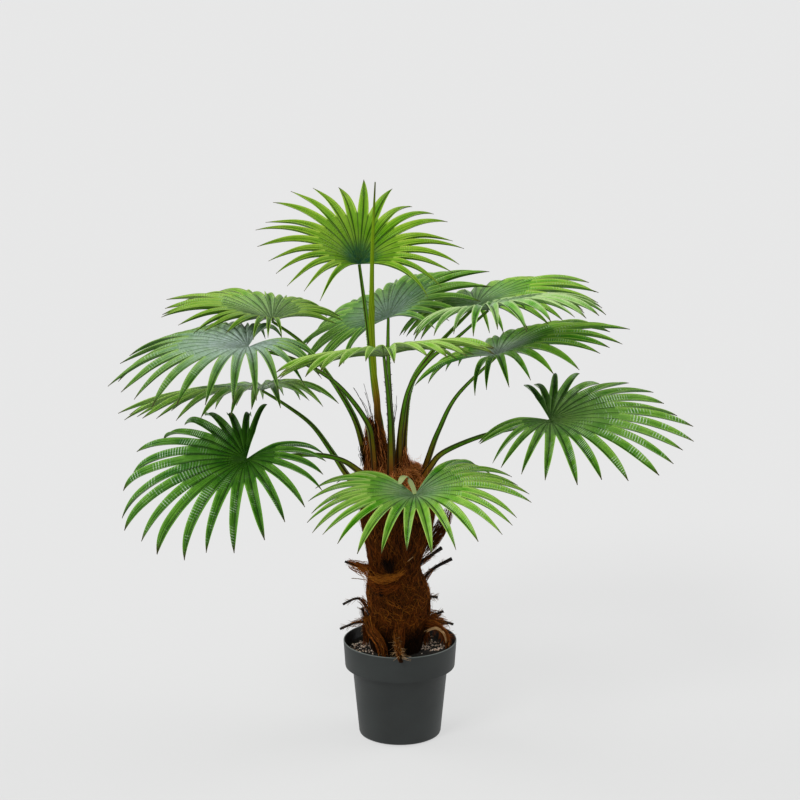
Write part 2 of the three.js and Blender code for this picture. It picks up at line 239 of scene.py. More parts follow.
# How far from the middle pebbles lie, and how far below the top of the soil.
PEBBLE_REACH = 87
PEBBLE_DEPTH = 3
tree, given = new_tree("pebbles on soil", {
    "Middle": "Vector", "Patch radius": "Float", "Density": "Float", "Least size": "Float",
    "Greatest size": "Float", "Seed": "Int",
})
spot = add(tree, "GeometryNodeInputPosition")
away = add(tree, "ShaderNodeVectorMath", [spot, given["Middle"]],
           operation="DISTANCE").node.outputs["Value"]
level = add(tree, "ShaderNodeSeparateXYZ", {"Vector": spot}).node.outputs["Z"]
radius = add(tree, "ShaderNodeVectorMath", [spot, (1, 1, 0)], operation="MULTIPLY")
radius = add(tree, "ShaderNodeVectorMath", [radius], operation="LENGTH").node.outputs["Value"]
near = add(tree, "ShaderNodeMath", [away, given["Patch radius"]], operation="LESS_THAN")
for value, side, limit in [(level, "GREATER_THAN", (SOIL_TOP - PEBBLE_DEPTH) * MM),
                           (radius, "LESS_THAN", PEBBLE_REACH * MM)]:
    kept = add(tree, "ShaderNodeMath", [value, limit], operation=side)
    near = add(tree, "ShaderNodeMath", [near, kept], operation="MULTIPLY")
seats = add(tree, "GeometryNodeDistributePointsOnFaces",
            {"Mesh": given["Geometry"], "Selection": near, "Density": given["Density"],
             "Seed": given["Seed"]})
stone = add(tree, "GeometryNodeMeshIcoSphere", {"Radius": 0.5, "Subdivisions": 2})
turn = add(tree, "FunctionNodeRandomValue", {0: (0, 0, 0), 1: (6.3, 6.3, 6.3)},
           data_type="FLOAT_VECTOR")
shape = add(tree, "FunctionNodeRandomValue", {0: (0.6, 0.7, 0.5), 1: (1, 1, 0.8)},
            data_type="FLOAT_VECTOR")
size = add(tree, "FunctionNodeRandomValue",
           {0: given["Least size"], 1: given["Greatest size"], "Seed": 3})
scale = add(tree, "ShaderNodeVectorMath", [shape, size], operation="MULTIPLY")
stones = add(tree, "GeometryNodeInstanceOnPoints",
             {"Points": seats, "Instance": stone, "Rotation": turn, "Scale": scale})
pebble_tree = close_tree(tree, stones, given["Material"])

# River grit is hard and dull, from tan to grey, darkened by the soil that sticks to it.
grit, tree, shader = new_material("tan river grit")
place = add(tree, "ShaderNodeTexCoord").node.outputs["Object"]
tint = add(tree, "ShaderNodeTexNoise", {"Vector": place, "Scale": 210.0, "Detail": 2.0})
stone = add(tree, "ShaderNodeValToRGB", {"Fac": tint},
            [(0.34, "#86705f"), (0.5, "#ccb4a2"), (0.64, "#f2e4d6")])
feed(shader, {"Base Color": stone, "Roughness": 0.7})

for name, middle, radius, density in [
    ("pebbles_left", (-56, 6, SOIL_TOP), 27, 36000),
    ("pebbles_right", (52, 10, SOIL_TOP), 25, 38000),
    ("pebbles_back", (10, 66, SOIL_TOP), 30, 20000),
    ("pebbles_all_over", (0, 0, SOIL_TOP), 88, 3000),
]:
    pebbles = grow(name, soil.data, pebble_tree, {
        "Middle": [length * MM for length in middle], "Patch radius": radius * MM,
        "Density": float(density), "Least size": 2.2 * MM, "Greatest size": 6 * MM,
        "Seed": len(name), "Material": grit,
    })
    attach(pebbles, "root")


# Trunk
# A light core wrapped in loose coconut fibre, pinched in two places where the wrap is tied. The
# core's own relief shows between the fibres. It stands in the soil and ends under the crown.
TRUNK_LEVELS = [
    (140, -6, 36), (148, -6, 41), (170, -6, 45), (207, -1, 49.5), (251, -3.5, 51), (293, -9, 41),
    (338, -5.5, 50.5), (372, -4, 58.5), (400, -5, 58.5), (430, -7, 55.5), (448, -8, 50),
    (458, -8, 40), (461, -8, 22), (461.5, -8, 4),
]
TRUNK_AROUND = 160
TRUNK_STEPS = 14
TRUNK_LUMPS = 1.3
TRUNK_RIDGES = 1.1


def smooth_levels(levels, steps):
    """Levels with steps more between each pair, on a smooth curve through them all."""
    rows = [Vector(level) for level in levels]
    rows = [2 * rows[0] - rows[1], *rows, 2 * rows[-1] - rows[-2]]
    found = []
    for before, start, end, after in zip(rows, rows[1:], rows[2:], rows[3:]):
        for i in range(steps):
            t = i / steps
            found.append(0.5 * (2 * start + (end - before) * t
                                + (2 * before - 5 * start + 4 * end - after) * t ** 2
                                + (3 * start - before - 3 * end + after) * t ** 3))
    return [*found, rows[-2]]


shape = bmesh.new()
rings = []
for height, lean, radius in smooth_levels(TRUNK_LEVELS, TRUNK_STEPS):
    ring = []
    for i in range(TRUNK_AROUND):
        turn = math.tau * i / TRUNK_AROUND
        outward = Vector((math.cos(turn), math.sin(turn), 0))
        bare = Vector((lean, 0, height)) + radius * outward
        lump = TRUNK_LUMPS * noise.fractal(bare / 16, 1.0, 2.0, 3)
        ridge = TRUNK_RIDGES * noise.noise(Vector((bare.x / 2.4, bare.y / 2.4, bare.z / 26)))
        ring.append(shape.verts.new((bare + (lump + ridge) * outward) * MM))
    rings.append(ring)
for lower, upper in zip(rings, rings[1:]):
    for i in range(TRUNK_AROUND):
        j = (i + 1) % TRUNK_AROUND
        shape.faces.new((lower[i], lower[j], upper[j], upper[i])).smooth = True
shape.faces.new(list(reversed(rings[0])))
shape.faces.new(rings[-1])
trunk_mesh = bpy.data.meshes.new("trunk_core")
shape.to_mesh(trunk_mesh)
shape.free()
trunk_core = put("trunk_core", trunk_mesh)

# Felted coir is matt red-brown, with hair-fine strands that run mostly up the trunk; the near-black
# between them is painted shade in the hollows. The strands' grain is drawn at 1 mm, coarser than
# life, so that it shows.
felt, tree, shader = new_material("felted coconut coir")
place = add(tree, "ShaderNodeTexCoord").node.outputs["Object"]
combed = add(tree, "ShaderNodeMapping", {"Vector": place, "Scale": (1000, 1000, 110)})
strand = add(tree, "ShaderNodeTexNoise", {"Vector": combed, "Scale": 1.0, "Detail": 5.0,
                                          "Distortion": 0.8})
patch = add(tree, "ShaderNodeTexNoise", {"Vector": place, "Scale": 34.0, "Detail": 3.0})
mixed = add(tree, "ShaderNodeMath", [patch, 0.55, -0.27], operation="MULTIPLY_ADD")
tone = add(tree, "ShaderNodeMath", [strand, mixed], operation="ADD")
brown = add(tree, "ShaderNodeValToRGB", {"Fac": tone},
            [(0.36, "#1a0d02"), (0.5, "#442609"), (0.66, "#7c4c14")])
# Painted shade: below 205 mm the felt turns near black, on the trunk's foot and on the root straps
# made of it.
level = add(tree, "ShaderNodeSeparateXYZ", {"Vector": place}).node.outputs["Z"]
deep = add(tree, "ShaderNodeMapRange",
           {"Value": level, "From Min": 0.17, "From Max": 0.205, "To Min": 0.8, "To Max": 0.0})
brown = add(tree, "ShaderNodeMix", {"Factor": deep, "A": brown, "B": linear("#0d0500")},
            data_type="RGBA")
relief = add(tree, "ShaderNodeBump", {"Strength": 1.0, "Distance": 0.0015, "Height": strand})
feed(shader, {"Base Color": brown, "Normal": relief, "Roughness": 0.95, "Specular IOR Level": 0.1})
trunk_core.data.materials.append(felt)
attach(trunk_core, "root")
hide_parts("trunk")


# Coir on the trunk
# Loose coconut fibres lie over the wrap: dark ones combed upwards on the upper half, redder ones at
# all angles below, and a few that stand off. Real ones are 0.2 mm thick and these are 0.6 mm, so
# that they show.
def numbered(tree, copies, name):
    """Make copies real, and give their points the number of their copy under a name."""
    number = add(tree, "GeometryNodeInputIndex")
    copies = add(tree, "GeometryNodeStoreNamedAttribute",
                 {"Geometry": copies, "Name": name, "Value": number},
                 data_type="INT", domain="INSTANCE")
    return (add(tree, "GeometryNodeRealizeInstances", {"Geometry": copies}),
            add(tree, "GeometryNodeInputNamedAttribute", {"Name": name}, data_type="INT"))


def tubes(tree, lines, girth):
    """Three-sided tubes round lines."""
    ring = add(tree, "GeometryNodeCurvePrimitiveCircle", {"Resolution": 3, "Radius": 0.5})
    return add(tree, "GeometryNodeCurveToMesh",
               {"Curve": lines, "Profile Curve": ring, "Scale": girth})


# How few fibres stray from the wrap, and how late along its length one does.
STRAY_FEW = 6.0
STRAY_LATE = 2.5
tree, given = new_tree("coir on a surface", {
    "Density": "Float", "Length": "Float", "Thickness": "Float", "Spread": "Float",
    "Stand-off": "Float", "Stray": "Float", "Wander": "Float", "From height": "Float",
    "To height": "Float", "Seed": "Int",
})
spot = add(tree, "GeometryNodeInputPosition")
level = add(tree, "ShaderNodeSeparateXYZ", {"Vector": spot}).node.outputs["Z"]
above = add(tree, "ShaderNodeMath", [level, given["From height"]], operation="GREATER_THAN")
below = add(tree, "ShaderNodeMath", [level, given["To height"]], operation="LESS_THAN")
within = add(tree, "ShaderNodeMath", [above, below], operation="MULTIPLY")
seats = add(tree, "GeometryNodeDistributePointsOnFaces",
            {"Mesh": given["Geometry"], "Selection": within, "Density": given["Density"],
             "Seed": given["Seed"]})
least = add(tree, "ShaderNodeMath", [given["Spread"], -1.0], operation="MULTIPLY")
angle = add(tree, "FunctionNodeRandomValue", {0: least, 1: given["Spread"], "Seed": given["Seed"]})
turn = add(tree, "FunctionNodeAxisAngleToRotation",
           {"Axis": seats.node.outputs["Normal"], "Angle": angle})
share = add(tree, "FunctionNodeRandomValue", {0: 0.5, 1: 1.3, "Seed": 7})
length = add(tree, "ShaderNodeMath", [share, given["Length"]], operation="MULTIPLY")
line = add(tree, "GeometryNodeCurvePrimitiveLine", {"Start": (0, 0, -0.5), "End": (0, 0, 0.5)})
line = add(tree, "GeometryNodeResampleCurve", {"Curve": line, "Count": 6})
hairs = add(tree, "GeometryNodeInstanceOnPoints",
            {"Points": seats, "Instance": line, "Rotation": turn, "Scale": length})
hairs, number = numbered(tree, hairs, "strand")
drift = add(tree, "ShaderNodeTexNoise", {"Vector": spot, "Scale": 70.0})
drift = add(tree, "ShaderNodeVectorMath",
            [drift.node.outputs["Color"], (0.5, 0.5, 0.5)], operation="SUBTRACT")
bent = add(tree, "ShaderNodeVectorMath", [drift, given["Wander"], spot], operation="MULTIPLY_ADD")
foot = add(tree, "GeometryNodeProximity",
           {"Geometry": given["Geometry"], "Sample Position": bent}, target_element="FACES")
facing = add(tree, "GeometryNodeInputNormal")
out = add(tree, "GeometryNodeSampleNearestSurface",
          {"Mesh": given["Geometry"], "Value": facing, "Sample Position": bent},
          data_type="FLOAT_VECTOR")
along = add(tree, "GeometryNodeSplineParameter")
off = add(tree, "FunctionNodeRandomValue",
          {0: 0.0, 1: given["Stand-off"], "ID": number, "Seed": 11})
wild = add(tree, "FunctionNodeRandomValue", {0: 0.0, 1: 1.0, "ID": number, "Seed": 12})
wild = add(tree, "ShaderNodeMath", [wild, STRAY_FEW], operation="POWER")
wild = add(tree, "ShaderNodeMath", [wild, given["Stray"]], operation="MULTIPLY")
late = add(tree, "ShaderNodeMath", [along, STRAY_LATE], operation="POWER")
rise = add(tree, "ShaderNodeMath", [wild, late, off], operation="MULTIPLY_ADD")
laid = add(tree, "ShaderNodeVectorMath", [out, rise, foot], operation="MULTIPLY_ADD")
hairs = add(tree, "GeometryNodeSetPosition", {"Geometry": hairs, "Position": laid})
taper = add(tree, "ShaderNodeMapRange", {"Value": along, "To Min": 1.0, "To Max": 0.35})
girth = add(tree, "ShaderNodeMath", [taper, given["Thickness"]], operation="MULTIPLY")
coir_tree = close_tree(tree, tubes(tree, hairs, girth), given["Material"])


def plain_fibre(name, code):
    """Coir fibre in one plain colour. Each shade of fibre is a piece of its own."""
    material, tree, shader = new_material(name)
    feed(shader, {"Base Color": linear(code), "Roughness": 0.8, "Specular IOR Level": 0.15})
    return material


coir_dark = plain_fibre("dark coir fibre", "#221104")
coir_brown = plain_fibre("brown coir fibre", "#5c340e")
coir_red = plain_fibre("red-brown coir fibre", "#864a18")
coir_orange = plain_fibre("orange coir fibre", "#b0722a")
coir_straw = plain_fibre("straw-coloured coir fibre", "#c0a078")
coir_rust = plain_fibre("rust-coloured coir fibre", "#f0a468")

# Piece, fibre, lowest and highest level, fibres to the square metre, length, spread, how far they
# all stand off, how much further a few do, and how much they curl.
for name, fibre, low, high, density, length, spread, lift, stray, curl, seed in [
    ("coir_upper_dark", coir_dark, 285, 460, 20000, 52, 0.35, 1.6, 6, 10, 1),
    ("coir_upper_brown", coir_brown, 285, 460, 40000, 46, 0.5, 1.8, 8, 12, 2),
    ("coir_upper_red", coir_red, 285, 460, 24000, 40, 0.6, 2.4, 6, 14, 3),
    ("coir_upper_orange", coir_orange, 285, 460, 6000, 34, 0.8, 2.6, 6, 16, 11),
    ("coir_lower_dark", coir_dark, 150, 300, 20000, 34, 1.2, 1.6, 5, 18, 4),
    ("coir_lower_brown", coir_brown, 190, 300, 44000, 32, 1.5, 1.8, 6, 20, 5),
    ("coir_lower_red", coir_red, 200, 300, 30000, 30, 1.5, 2.2, 8, 22, 6),
    ("coir_lower_orange", coir_orange, 204, 300, 10000, 26, 1.5, 2.5, 6, 24, 7),
    ("coir_shoulder_red", coir_red, 405, 462, 32000, 26, 3.1, 5, 12, 50, 8),
    ("coir_shoulder_orange", coir_orange, 417, 462, 55000, 26, 3.1, 8, 14, 50, 9),
    ("coir_shoulder_rust", coir_rust, 428, 462, 80000, 24, 3.1, 10, 19, 50, 10),
]:
    coir = grow(name, trunk_mesh, coir_tree, {
        "Density": float(density), "Length": length * MM, "Thickness": 0.6 * MM,
        "Spread": spread, "Stand-off": lift * MM, "Stray": stray * MM, "Wander": curl * MM,
        "From height": low * MM, "To height": high * MM, "Seed": seed, "Material": fibre,
    })
    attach(coir, "root")


# Prop roots
# Straps of twisted coir that run down and out from the trunk's foot into the soil, the front one
# over the pot's lip. Each is a tapered rod wrapped in loose fibres, with hairs along its sides.
def path(name, points):
    """An open line of edges through points in millimetres."""
    mesh = bpy.data.meshes.new(name)
    mesh.from_pydata([Vector(point) * MM for point in points],
                     [(i, i + 1) for i in range(len(points) - 1)], [])
    return mesh


def curve_of(tree, path_mesh):
    """The path as a smooth curve through its points."""
    line = add(tree, "GeometryNodeMeshToCurve", {"Mesh": path_mesh})
    return add(tree, "GeometryNodeCurveSplineType", {"Curve": line}, spline_type="CATMULL_ROM")


def drifting(tree, cloud, reach):
    """A noise texture's colour as a shift to any side, times a reach."""
    shift = add(tree, "ShaderNodeVectorMath", [cloud.node.outputs["Color"], (0.5, 0.5, 0.5)],
                operation="SUBTRACT")
    return add(tree, "ShaderNodeVectorMath", [shift, reach], operation="MULTIPLY")


def work_out(tree, kind, known, sums):
    """Add a node for each sum and keep what it gives in known, under the sum's name. A sum holds
    its name, its operation and what goes in: values, or names that are known. Names with a capital
    are the tree's inputs."""
    for name, operation, *terms in sums:
        links = [known[term] if isinstance(term, str) else term for term in terms]
        known[name] = add(tree, kind, links, operation=operation)


# How close to the foot a rod flares, and how close to the tip it comes to a point.
FLARE_LATE = 7.0
POINT_LATE = 6.0
tree, given = new_tree("tapered rod along a path", {
    "Foot radius": "Float", "Tip radius": "Float", "Flare": "Float", "Flatness": "Float",
    "Point": "Float", "Ribs": "Float", "Rib depth": "Float", "Roughness": "Float",
    "Rings": "Int", "Sides": "Int",
})
line = curve_of(tree, given["Geometry"])
line = add(tree, "GeometryNodeResampleCurve", {"Curve": line, "Count": given["Rings"]})
line = add(tree, "GeometryNodeSetCurveNormal", {"Curve": line}, mode="Z_UP")
along = add(tree, "GeometryNodeSplineParameter")
line = add(tree, "GeometryNodeStoreNamedAttribute",
           {"Geometry": line, "Name": "along", "Value": along}, data_type="FLOAT")
taper = add(tree, "ShaderNodeMapRange",
            {"Value": along, "To Min": given["Foot radius"], "To Max": given["Tip radius"]})
ring = add(tree, "GeometryNodeCurvePrimitiveCircle", {"Resolution": given["Sides"], "Radius": 1.0})
spot = add(tree, "GeometryNodeInputPosition")
split = add(tree, "ShaderNodeSeparateXYZ", {"Vector": spot}).node.outputs
known = {socket.name: socket for socket in given}
known |= {"along": along, "taper": taper, "x": split["X"], "y": split["Y"]}
work_out(tree, "ShaderNodeMath", known, [
    # The radius flares at the foot and closes to a point at the tip.
    ("left", "SUBTRACT", 1.0, "along"),
    ("flare", "POWER", "left", FLARE_LATE),
    ("radius", "MULTIPLY_ADD", "flare", "Flare", "taper"),
    ("late", "POWER", "along", POINT_LATE),
    ("late", "MULTIPLY", "late", "Point"),
    ("point", "SUBTRACT", 1.0, "late"),
    ("radius", "MULTIPLY", "radius", "point"),
    # The ring is ribbed all round and flattened.
    ("side", "MULTIPLY", "x", "y"),
    ("turn", "ARCTAN2", "y", "x"),
    ("turn", "MULTIPLY", "turn", "Ribs"),
    ("wave", "COSINE", "turn"),
    ("wave", "MULTIPLY_ADD", "wave", "Rib depth", 1.0),
    ("wide", "MULTIPLY", "x", "wave"),
    ("deep", "MULTIPLY", "y", "wave"),
    ("deep", "MULTIPLY", "deep", "Flatness"),
])
ring = add(tree, "GeometryNodeStoreNamedAttribute",
           {"Geometry": ring, "Name": "side", "Value": known["side"]}, data_type="FLOAT")
outline = add(tree, "ShaderNodeCombineXYZ", [known["wide"], known["deep"]])
ring = add(tree, "GeometryNodeSetPosition", {"Geometry": ring, "Position": outline})
skin = add(tree, "GeometryNodeCurveToMesh",
           {"Curve": line, "Profile Curve": ring, "Scale": known["radius"], "Fill Caps": True})
grain = add(tree, "ShaderNodeTexNoise", {"Vector": spot, "Scale": 240.0})
grain = drifting(tree, grain, given["Roughness"])
skin = add(tree, "GeometryNodeSetPosition", {"Geometry": skin, "Offset": grain})
rod_tree = close_tree(tree, skin, given["Material"])

tree, given = new_tree("fibres along a path", {
    "Count": "Int", "Foot spread": "Float", "Tip spread": "Float", "Latest start": "Float",
    "Share": "Float", "Thickness": "Float", "Wander": "Float", "Seed": "Int",
})
line = curve_of(tree, given["Geometry"])
line = add(tree, "GeometryNodeResampleCurve", {"Curve": line, "Count": 32})
seats = add(tree, "GeometryNodeMeshLine", {"Count": given["Count"], "Offset": (0, 0, 0)})
hairs = add(tree, "GeometryNodeInstanceOnPoints", {"Points": seats, "Instance": line})
hairs, number = numbered(tree, hairs, "strand")
along = add(tree, "GeometryNodeSplineParameter")
hairs = add(tree, "GeometryNodeStoreNamedAttribute",
            {"Geometry": hairs, "Name": "along", "Value": along}, data_type="FLOAT")
start = add(tree, "FunctionNodeRandomValue",
            {0: 0.0, 1: given["Latest start"], "ID": number, "Seed": given["Seed"]})
part = add(tree, "FunctionNodeRandomValue", {0: 0.6, 1: 1.0, "ID": number, "Seed": 23})
part = add(tree, "ShaderNodeMath", [part, given["Share"]], operation="MULTIPLY")
end = add(tree, "ShaderNodeMath", [start, part], operation="ADD")
hairs = add(tree, "GeometryNodeTrimCurve", {"Curve": hairs, "Start": start, "End": end})
hairs = add(tree, "GeometryNodeResampleCurve", {"Curve": hairs, "Count": 8})
place = add(tree, "GeometryNodeInputNamedAttribute", {"Name": "along"}, data_type="FLOAT")
reach = add(tree, "ShaderNodeMapRange",
            {"Value": place, "To Min": given["Foot spread"], "To Max": given["Tip spread"]})
share = add(tree, "FunctionNodeRandomValue", {0: 0.0, 1: 1.0, "ID": number, "Seed": 21})
share = add(tree, "ShaderNodeMath", [share], operation="SQRT")
reach = add(tree, "ShaderNodeMath", [reach, share], operation="MULTIPLY")
turn = add(tree, "FunctionNodeRandomValue", {0: 0.0, 1: math.tau, "ID": number, "Seed": 22})
ahead = add(tree, "GeometryNodeInputTangent")
side = add(tree, "ShaderNodeVectorMath", [ahead, (0.31, 0.94, 0.13)], operation="CROSS_PRODUCT")
side = add(tree, "ShaderNodeVectorMath", [side], operation="NORMALIZE")
side = add(tree, "ShaderNodeVectorRotate", {"Vector": side, "Axis": ahead, "Angle": turn})
spot = add(tree, "GeometryNodeInputPosition")
shift = add(tree, "ShaderNodeMath", [number, 0.37], operation="MULTIPLY")
drift = add(tree, "ShaderNodeTexNoise", {"Vector": spot, "W": shift, "Scale": 45.0},
            noise_dimensions="4D")
drift = drifting(tree, drift, given["Wander"])
moved = add(tree, "ShaderNodeVectorMath", [side, reach, drift], operation="MULTIPLY_ADD")
hairs = add(tree, "GeometryNodeSetPosition", {"Geometry": hairs, "Offset": moved})
bundle_tree = close_tree(tree, tubes(tree, hairs, given["Thickness"]), given["Material"])

tree, given = new_tree("fringe along a path", {
    "Count": "Int", "Length": "Float", "Thickness": "Float", "Lean": "Float",
    "From share": "Float", "To share": "Float", "Turn step": "Float", "Foot radius": "Float",
    "Tip radius": "Float", "Seed": "Int",
})
line = curve_of(tree, given["Geometry"])
line = add(tree, "GeometryNodeSetCurveNormal", {"Curve": line}, mode="Z_UP")
line = add(tree, "GeometryNodeTrimCurve",
           {"Curve": line, "Start": given["From share"], "End": given["To share"]})
seats = add(tree, "GeometryNodeCurveToPoints", {"Curve": line, "Count": given["Count"]})
turn = add(tree, "FunctionNodeRandomValue", {0: 0.0, 1: math.tau, "Seed": given["Seed"]})
turn = add(tree, "ShaderNodeMath", [turn, given["Turn step"]], operation="SNAP")
side = add(tree, "ShaderNodeVectorRotate",
           {"Vector": seats.node.outputs["Normal"], "Axis": seats.node.outputs["Tangent"],
            "Angle": turn})
ahead = add(tree, "ShaderNodeVectorMath",
            [seats.node.outputs["Tangent"], given["Lean"], side],
            operation="MULTIPLY_ADD")
aim = add(tree, "FunctionNodeAlignRotationToVector", {"Vector": ahead}, axis="Z")
number = add(tree, "GeometryNodeInputIndex")
place = add(tree, "ShaderNodeMath", [number, given["Count"]], operation="DIVIDE")
radius = add(tree, "ShaderNodeMapRange",
             {"Value": place, "To Min": given["Foot radius"], "To Max": given["Tip radius"]})
beside = add(tree, "ShaderNodeVectorMath", [side, radius], operation="SCALE")
roots = add(tree, "GeometryNodeSetPosition", {"Geometry": seats, "Offset": beside})
share = add(tree, "FunctionNodeRandomValue", {0: 0.5, 1: 1.2, "Seed": 31})
length = add(tree, "ShaderNodeMath", [share, given["Length"]], operation="MULTIPLY")
size = add(tree, "ShaderNodeCombineXYZ",
           {"X": given["Thickness"], "Y": given["Thickness"], "Z": length})
spine = add(tree, "GeometryNodeMeshCone",
            {"Vertices": 3, "Radius Top": 0.15, "Radius Bottom": 0.5, "Depth": 1.0},
            fill_type="NONE")
spines = add(tree, "GeometryNodeInstanceOnPoints",
             {"Points": roots, "Instance": spine, "Rotation": aim, "Scale": size})
fringe_tree = close_tree(tree, spines, given["Material"])

# The path, the strap's foot and tip radius and flatness, the wrap's spread and the share of it that
# is bright, and the hairs' number, length, last place and fibre.
ROOTS = {
    "root_left_front": ([(-52, -16, 208), (-46, -38, 192), (-32, -58, 175), (-24, -70, 144)],
                        8, 6, 0.6, 9, 80, 40, 9, 0.8, coir_straw),
    "root_front": ([(-8, -38, 196), (-6, -68, 184), (-2, -92, 173), (2, -103, 160)],
                   5, 3, 0.8, 5, 130, 52, 18, 0.9, coir_straw),
    "root_right": ([(30, -12, 200), (58, -27, 199), (73, -31, 186), (79, -32, 172), (79, -32, 152)],
                   4, 3, 0.7, 7, 60, 120, 17, 0.7, coir_red),
    "root_back_right": ([(20, 30, 198), (32, 54, 182), (36, 65, 162), (36, 66, 144)],
                        5, 4, 0.7, 10, 60, 60, 14, 0.8, coir_straw),
    "root_back_left": ([(-34, 28, 198), (-50, 45, 182), (-55, 51, 162), (-55, 52, 144)],
                       5, 4, 0.7, 10, 60, 60, 14, 0.8, coir_straw),
}
for name, sizes in ROOTS.items():
    points, foot, tip, flatness, spread, bright, count, length, last, hair = sizes
    line = path(name, points)
    strap = grow(name + "_strap", line, rod_tree, {
        "Foot radius": foot * MM, "Tip radius": tip * MM, "Flare": 2 * MM, "Flatness": flatness,
        "Point": 0.0, "Ribs": 3.0, "Rib depth": 0.1, "Roughness": 4 * MM, "Rings": 40,
        "Sides": 16, "Material": felt,
    })
    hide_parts(name)
    wraps = [
        grow(name + "_" + shade + "_wrap", line, bundle_tree, {
            "Count": strands, "Foot spread": spread * MM, "Tip spread": (tip + 1.5) * MM,
            "Latest start": 0.6, "Share": 0.4, "Thickness": 0.7 * MM, "Wander": 10 * MM,
            "Seed": strands, "Material": fibre,
        })
        for shade, fibre, strands in [("brown", coir_brown, 160), ("red", coir_red, 130),
                                      ("orange", coir_orange, bright)]
    ]
    hairs = grow(name + "_hairs", line, fringe_tree, {
        "Count": count, "Length": length * MM, "Thickness": 0.9 * MM, "Lean": 0.5,
        "From share": 0.35, "To share": last, "Turn step": 0.01, "Seed": 6, "Material": hair,
    })
    for piece in (strap, hairs, *wraps):
        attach(piece, "root")


# Root lobes
# Below its lower bulge the wrap parts into lobes of combed coir that go down to the soil, with dark
# hollows between them, where the felt is darkened with painted shade.
TRUNK_MIDDLE = -5
LOBES = [(-84, 10), (22, 12), (64, 16), (108, 14), (158, 16)]
for i, (heading, spread) in enumerate(LOBES):
    turn = math.radians(heading)
    aside = (math.cos(turn), math.sin(turn))
    line = path("lobe", [
        (TRUNK_MIDDLE + reach * aside[0], reach * aside[1], height)
        for reach, height in [(47, 216), (49, 190), (50, 166), (54, 144)]
    ])
    for shade, fibre, count in [("orange", coir_orange, 40), ("red", coir_red, 120),
                                ("brown", coir_brown, 130)]:
        lobe = grow(f"coir_lobe_{i + 1}_{shade}", line, bundle_tree, {
            "Count": count, "Foot spread": spread * MM, "Tip spread": 0.6 * spread * MM,
            "Latest start": 0.6, "Share": 0.45, "Thickness": 0.7 * MM, "Wander": 14 * MM,
            "Seed": 80 + i + count, "Material": fibre,
        })
        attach(lobe, "root")


# Cut leaf bases
# Stubs of old leaf stalks that stick out of the wrap on all sides. They are dry and black-brown,
# cut square at the end, and carry a brush of loose fibre where they leave the trunk.
STUBS = {
    "stub_left_upper": (178, [(36, 286), (62, 291), (87, 300)]),
    "stub_left_middle": (186, [(44, 208), (63, 238), (91, 229)]),
    "stub_left_low": (190, [(46, 200), (72, 197), (97, 188)]),
    "stub_left_upright": (172, [(48, 198), (56, 206), (59, 217)]),
    "stub_right_top": (352, [(38, 300), (58, 315), (75, 328)]),
    "stub_right_upper": (4, [(36, 256), (57, 284), (92, 304)]),
    "stub_right_middle": (350, [(42, 243), (56, 243), (69, 242)]),
    "stub_right_low": (8, [(46, 200), (62, 204), (79, 210)]),
    "stub_right_foot": (354, [(44, 197), (72, 199), (95, 194)]),
    "stub_back_upper": (98, [(38, 300), (60, 312), (82, 326)]),
    "stub_back_middle": (64, [(40, 250), (62, 262), (84, 268)]),
    "stub_back_low": (124, [(44, 214), (66, 226), (88, 224)]),
}
# Stubs with a full brush of orange fibre, and the two thickest.
BRUSHED = ("stub_right_low", "stub_right_foot", "stub_back_upper", "stub_back_low")
THICK = ("stub_right_top", "stub_right_upper")

# A dry leaf base is nearly black, matt and fibrous, with pale grey-brown frayed streaks.
dry_base, tree, shader = new_material("dry black-brown leaf base")
place = add(tree, "ShaderNodeTexCoord").node.outputs["Object"]
streak = add(tree, "ShaderNodeTexNoise", {"Vector": place, "Scale": 260.0, "Detail": 4.0})
brown = add(tree, "ShaderNodeValToRGB", {"Fac": streak},
            [(0.4, "#0f0906"), (0.6, "#22140b"), (0.74, "#4f3a2a")])
relief = add(tree, "ShaderNodeBump", {"Strength": 0.8, "Distance": 0.0006, "Height": streak})
feed(shader, {"Base Color": brown, "Normal": relief, "Roughness": 0.7})
pale_fray = plain_fibre("pale frayed fibre", "#84694f")

for name, (heading, rise) in STUBS.items():
    turn = math.radians(heading)
    points = [(TRUNK_MIDDLE + reach * math.cos(turn), reach * math.sin(turn), height)
              for reach, height in rise]
    line = path(name, points)
    stick = grow(name + "_stick", line, rod_tree, {
        "Foot radius": 2 * MM, "Tip radius": (3.6 if name in THICK else 2.4) * MM,
        "Flare": 4 * MM, "Flatness": 0.8,
        "Point": 0.0, "Ribs": 4.0, "Rib depth": 0.12, "Roughness": 0.8 * MM, "Rings": 26,
        "Sides": 16, "Material": dry_base,
    })
    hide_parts(name)
    brushed = name in BRUSHED
    brush = [
        grow(name + "_brush_" + shade, line, bundle_tree, {
            "Count": count if brushed else count // 3, "Foot spread": (15 if brushed else 9) * MM,
            "Tip spread": 2 * MM, "Latest start": 0.25, "Share": 0.65 if brushed else 0.45,
            "Thickness": 0.6 * MM, "Wander": 16 * MM, "Seed": heading + count,
            "Material": fibre,
        })
        for shade, fibre, count in [("brown", coir_brown, 80), ("red", coir_red, 90),
                                    ("orange", coir_orange, 45)]
    ]
    frays = grow(name + "_frays", line, fringe_tree, {
        "Count": 34, "Length": 12 * MM, "Thickness": 0.9 * MM, "Lean": 1.2, "From share": 0.2,
        "To share": 0.85, "Turn step": 0.01, "Seed": heading, "Material": pale_fray,
    })
    for piece in (stick, frays, *brush):
        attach(piece, "root")


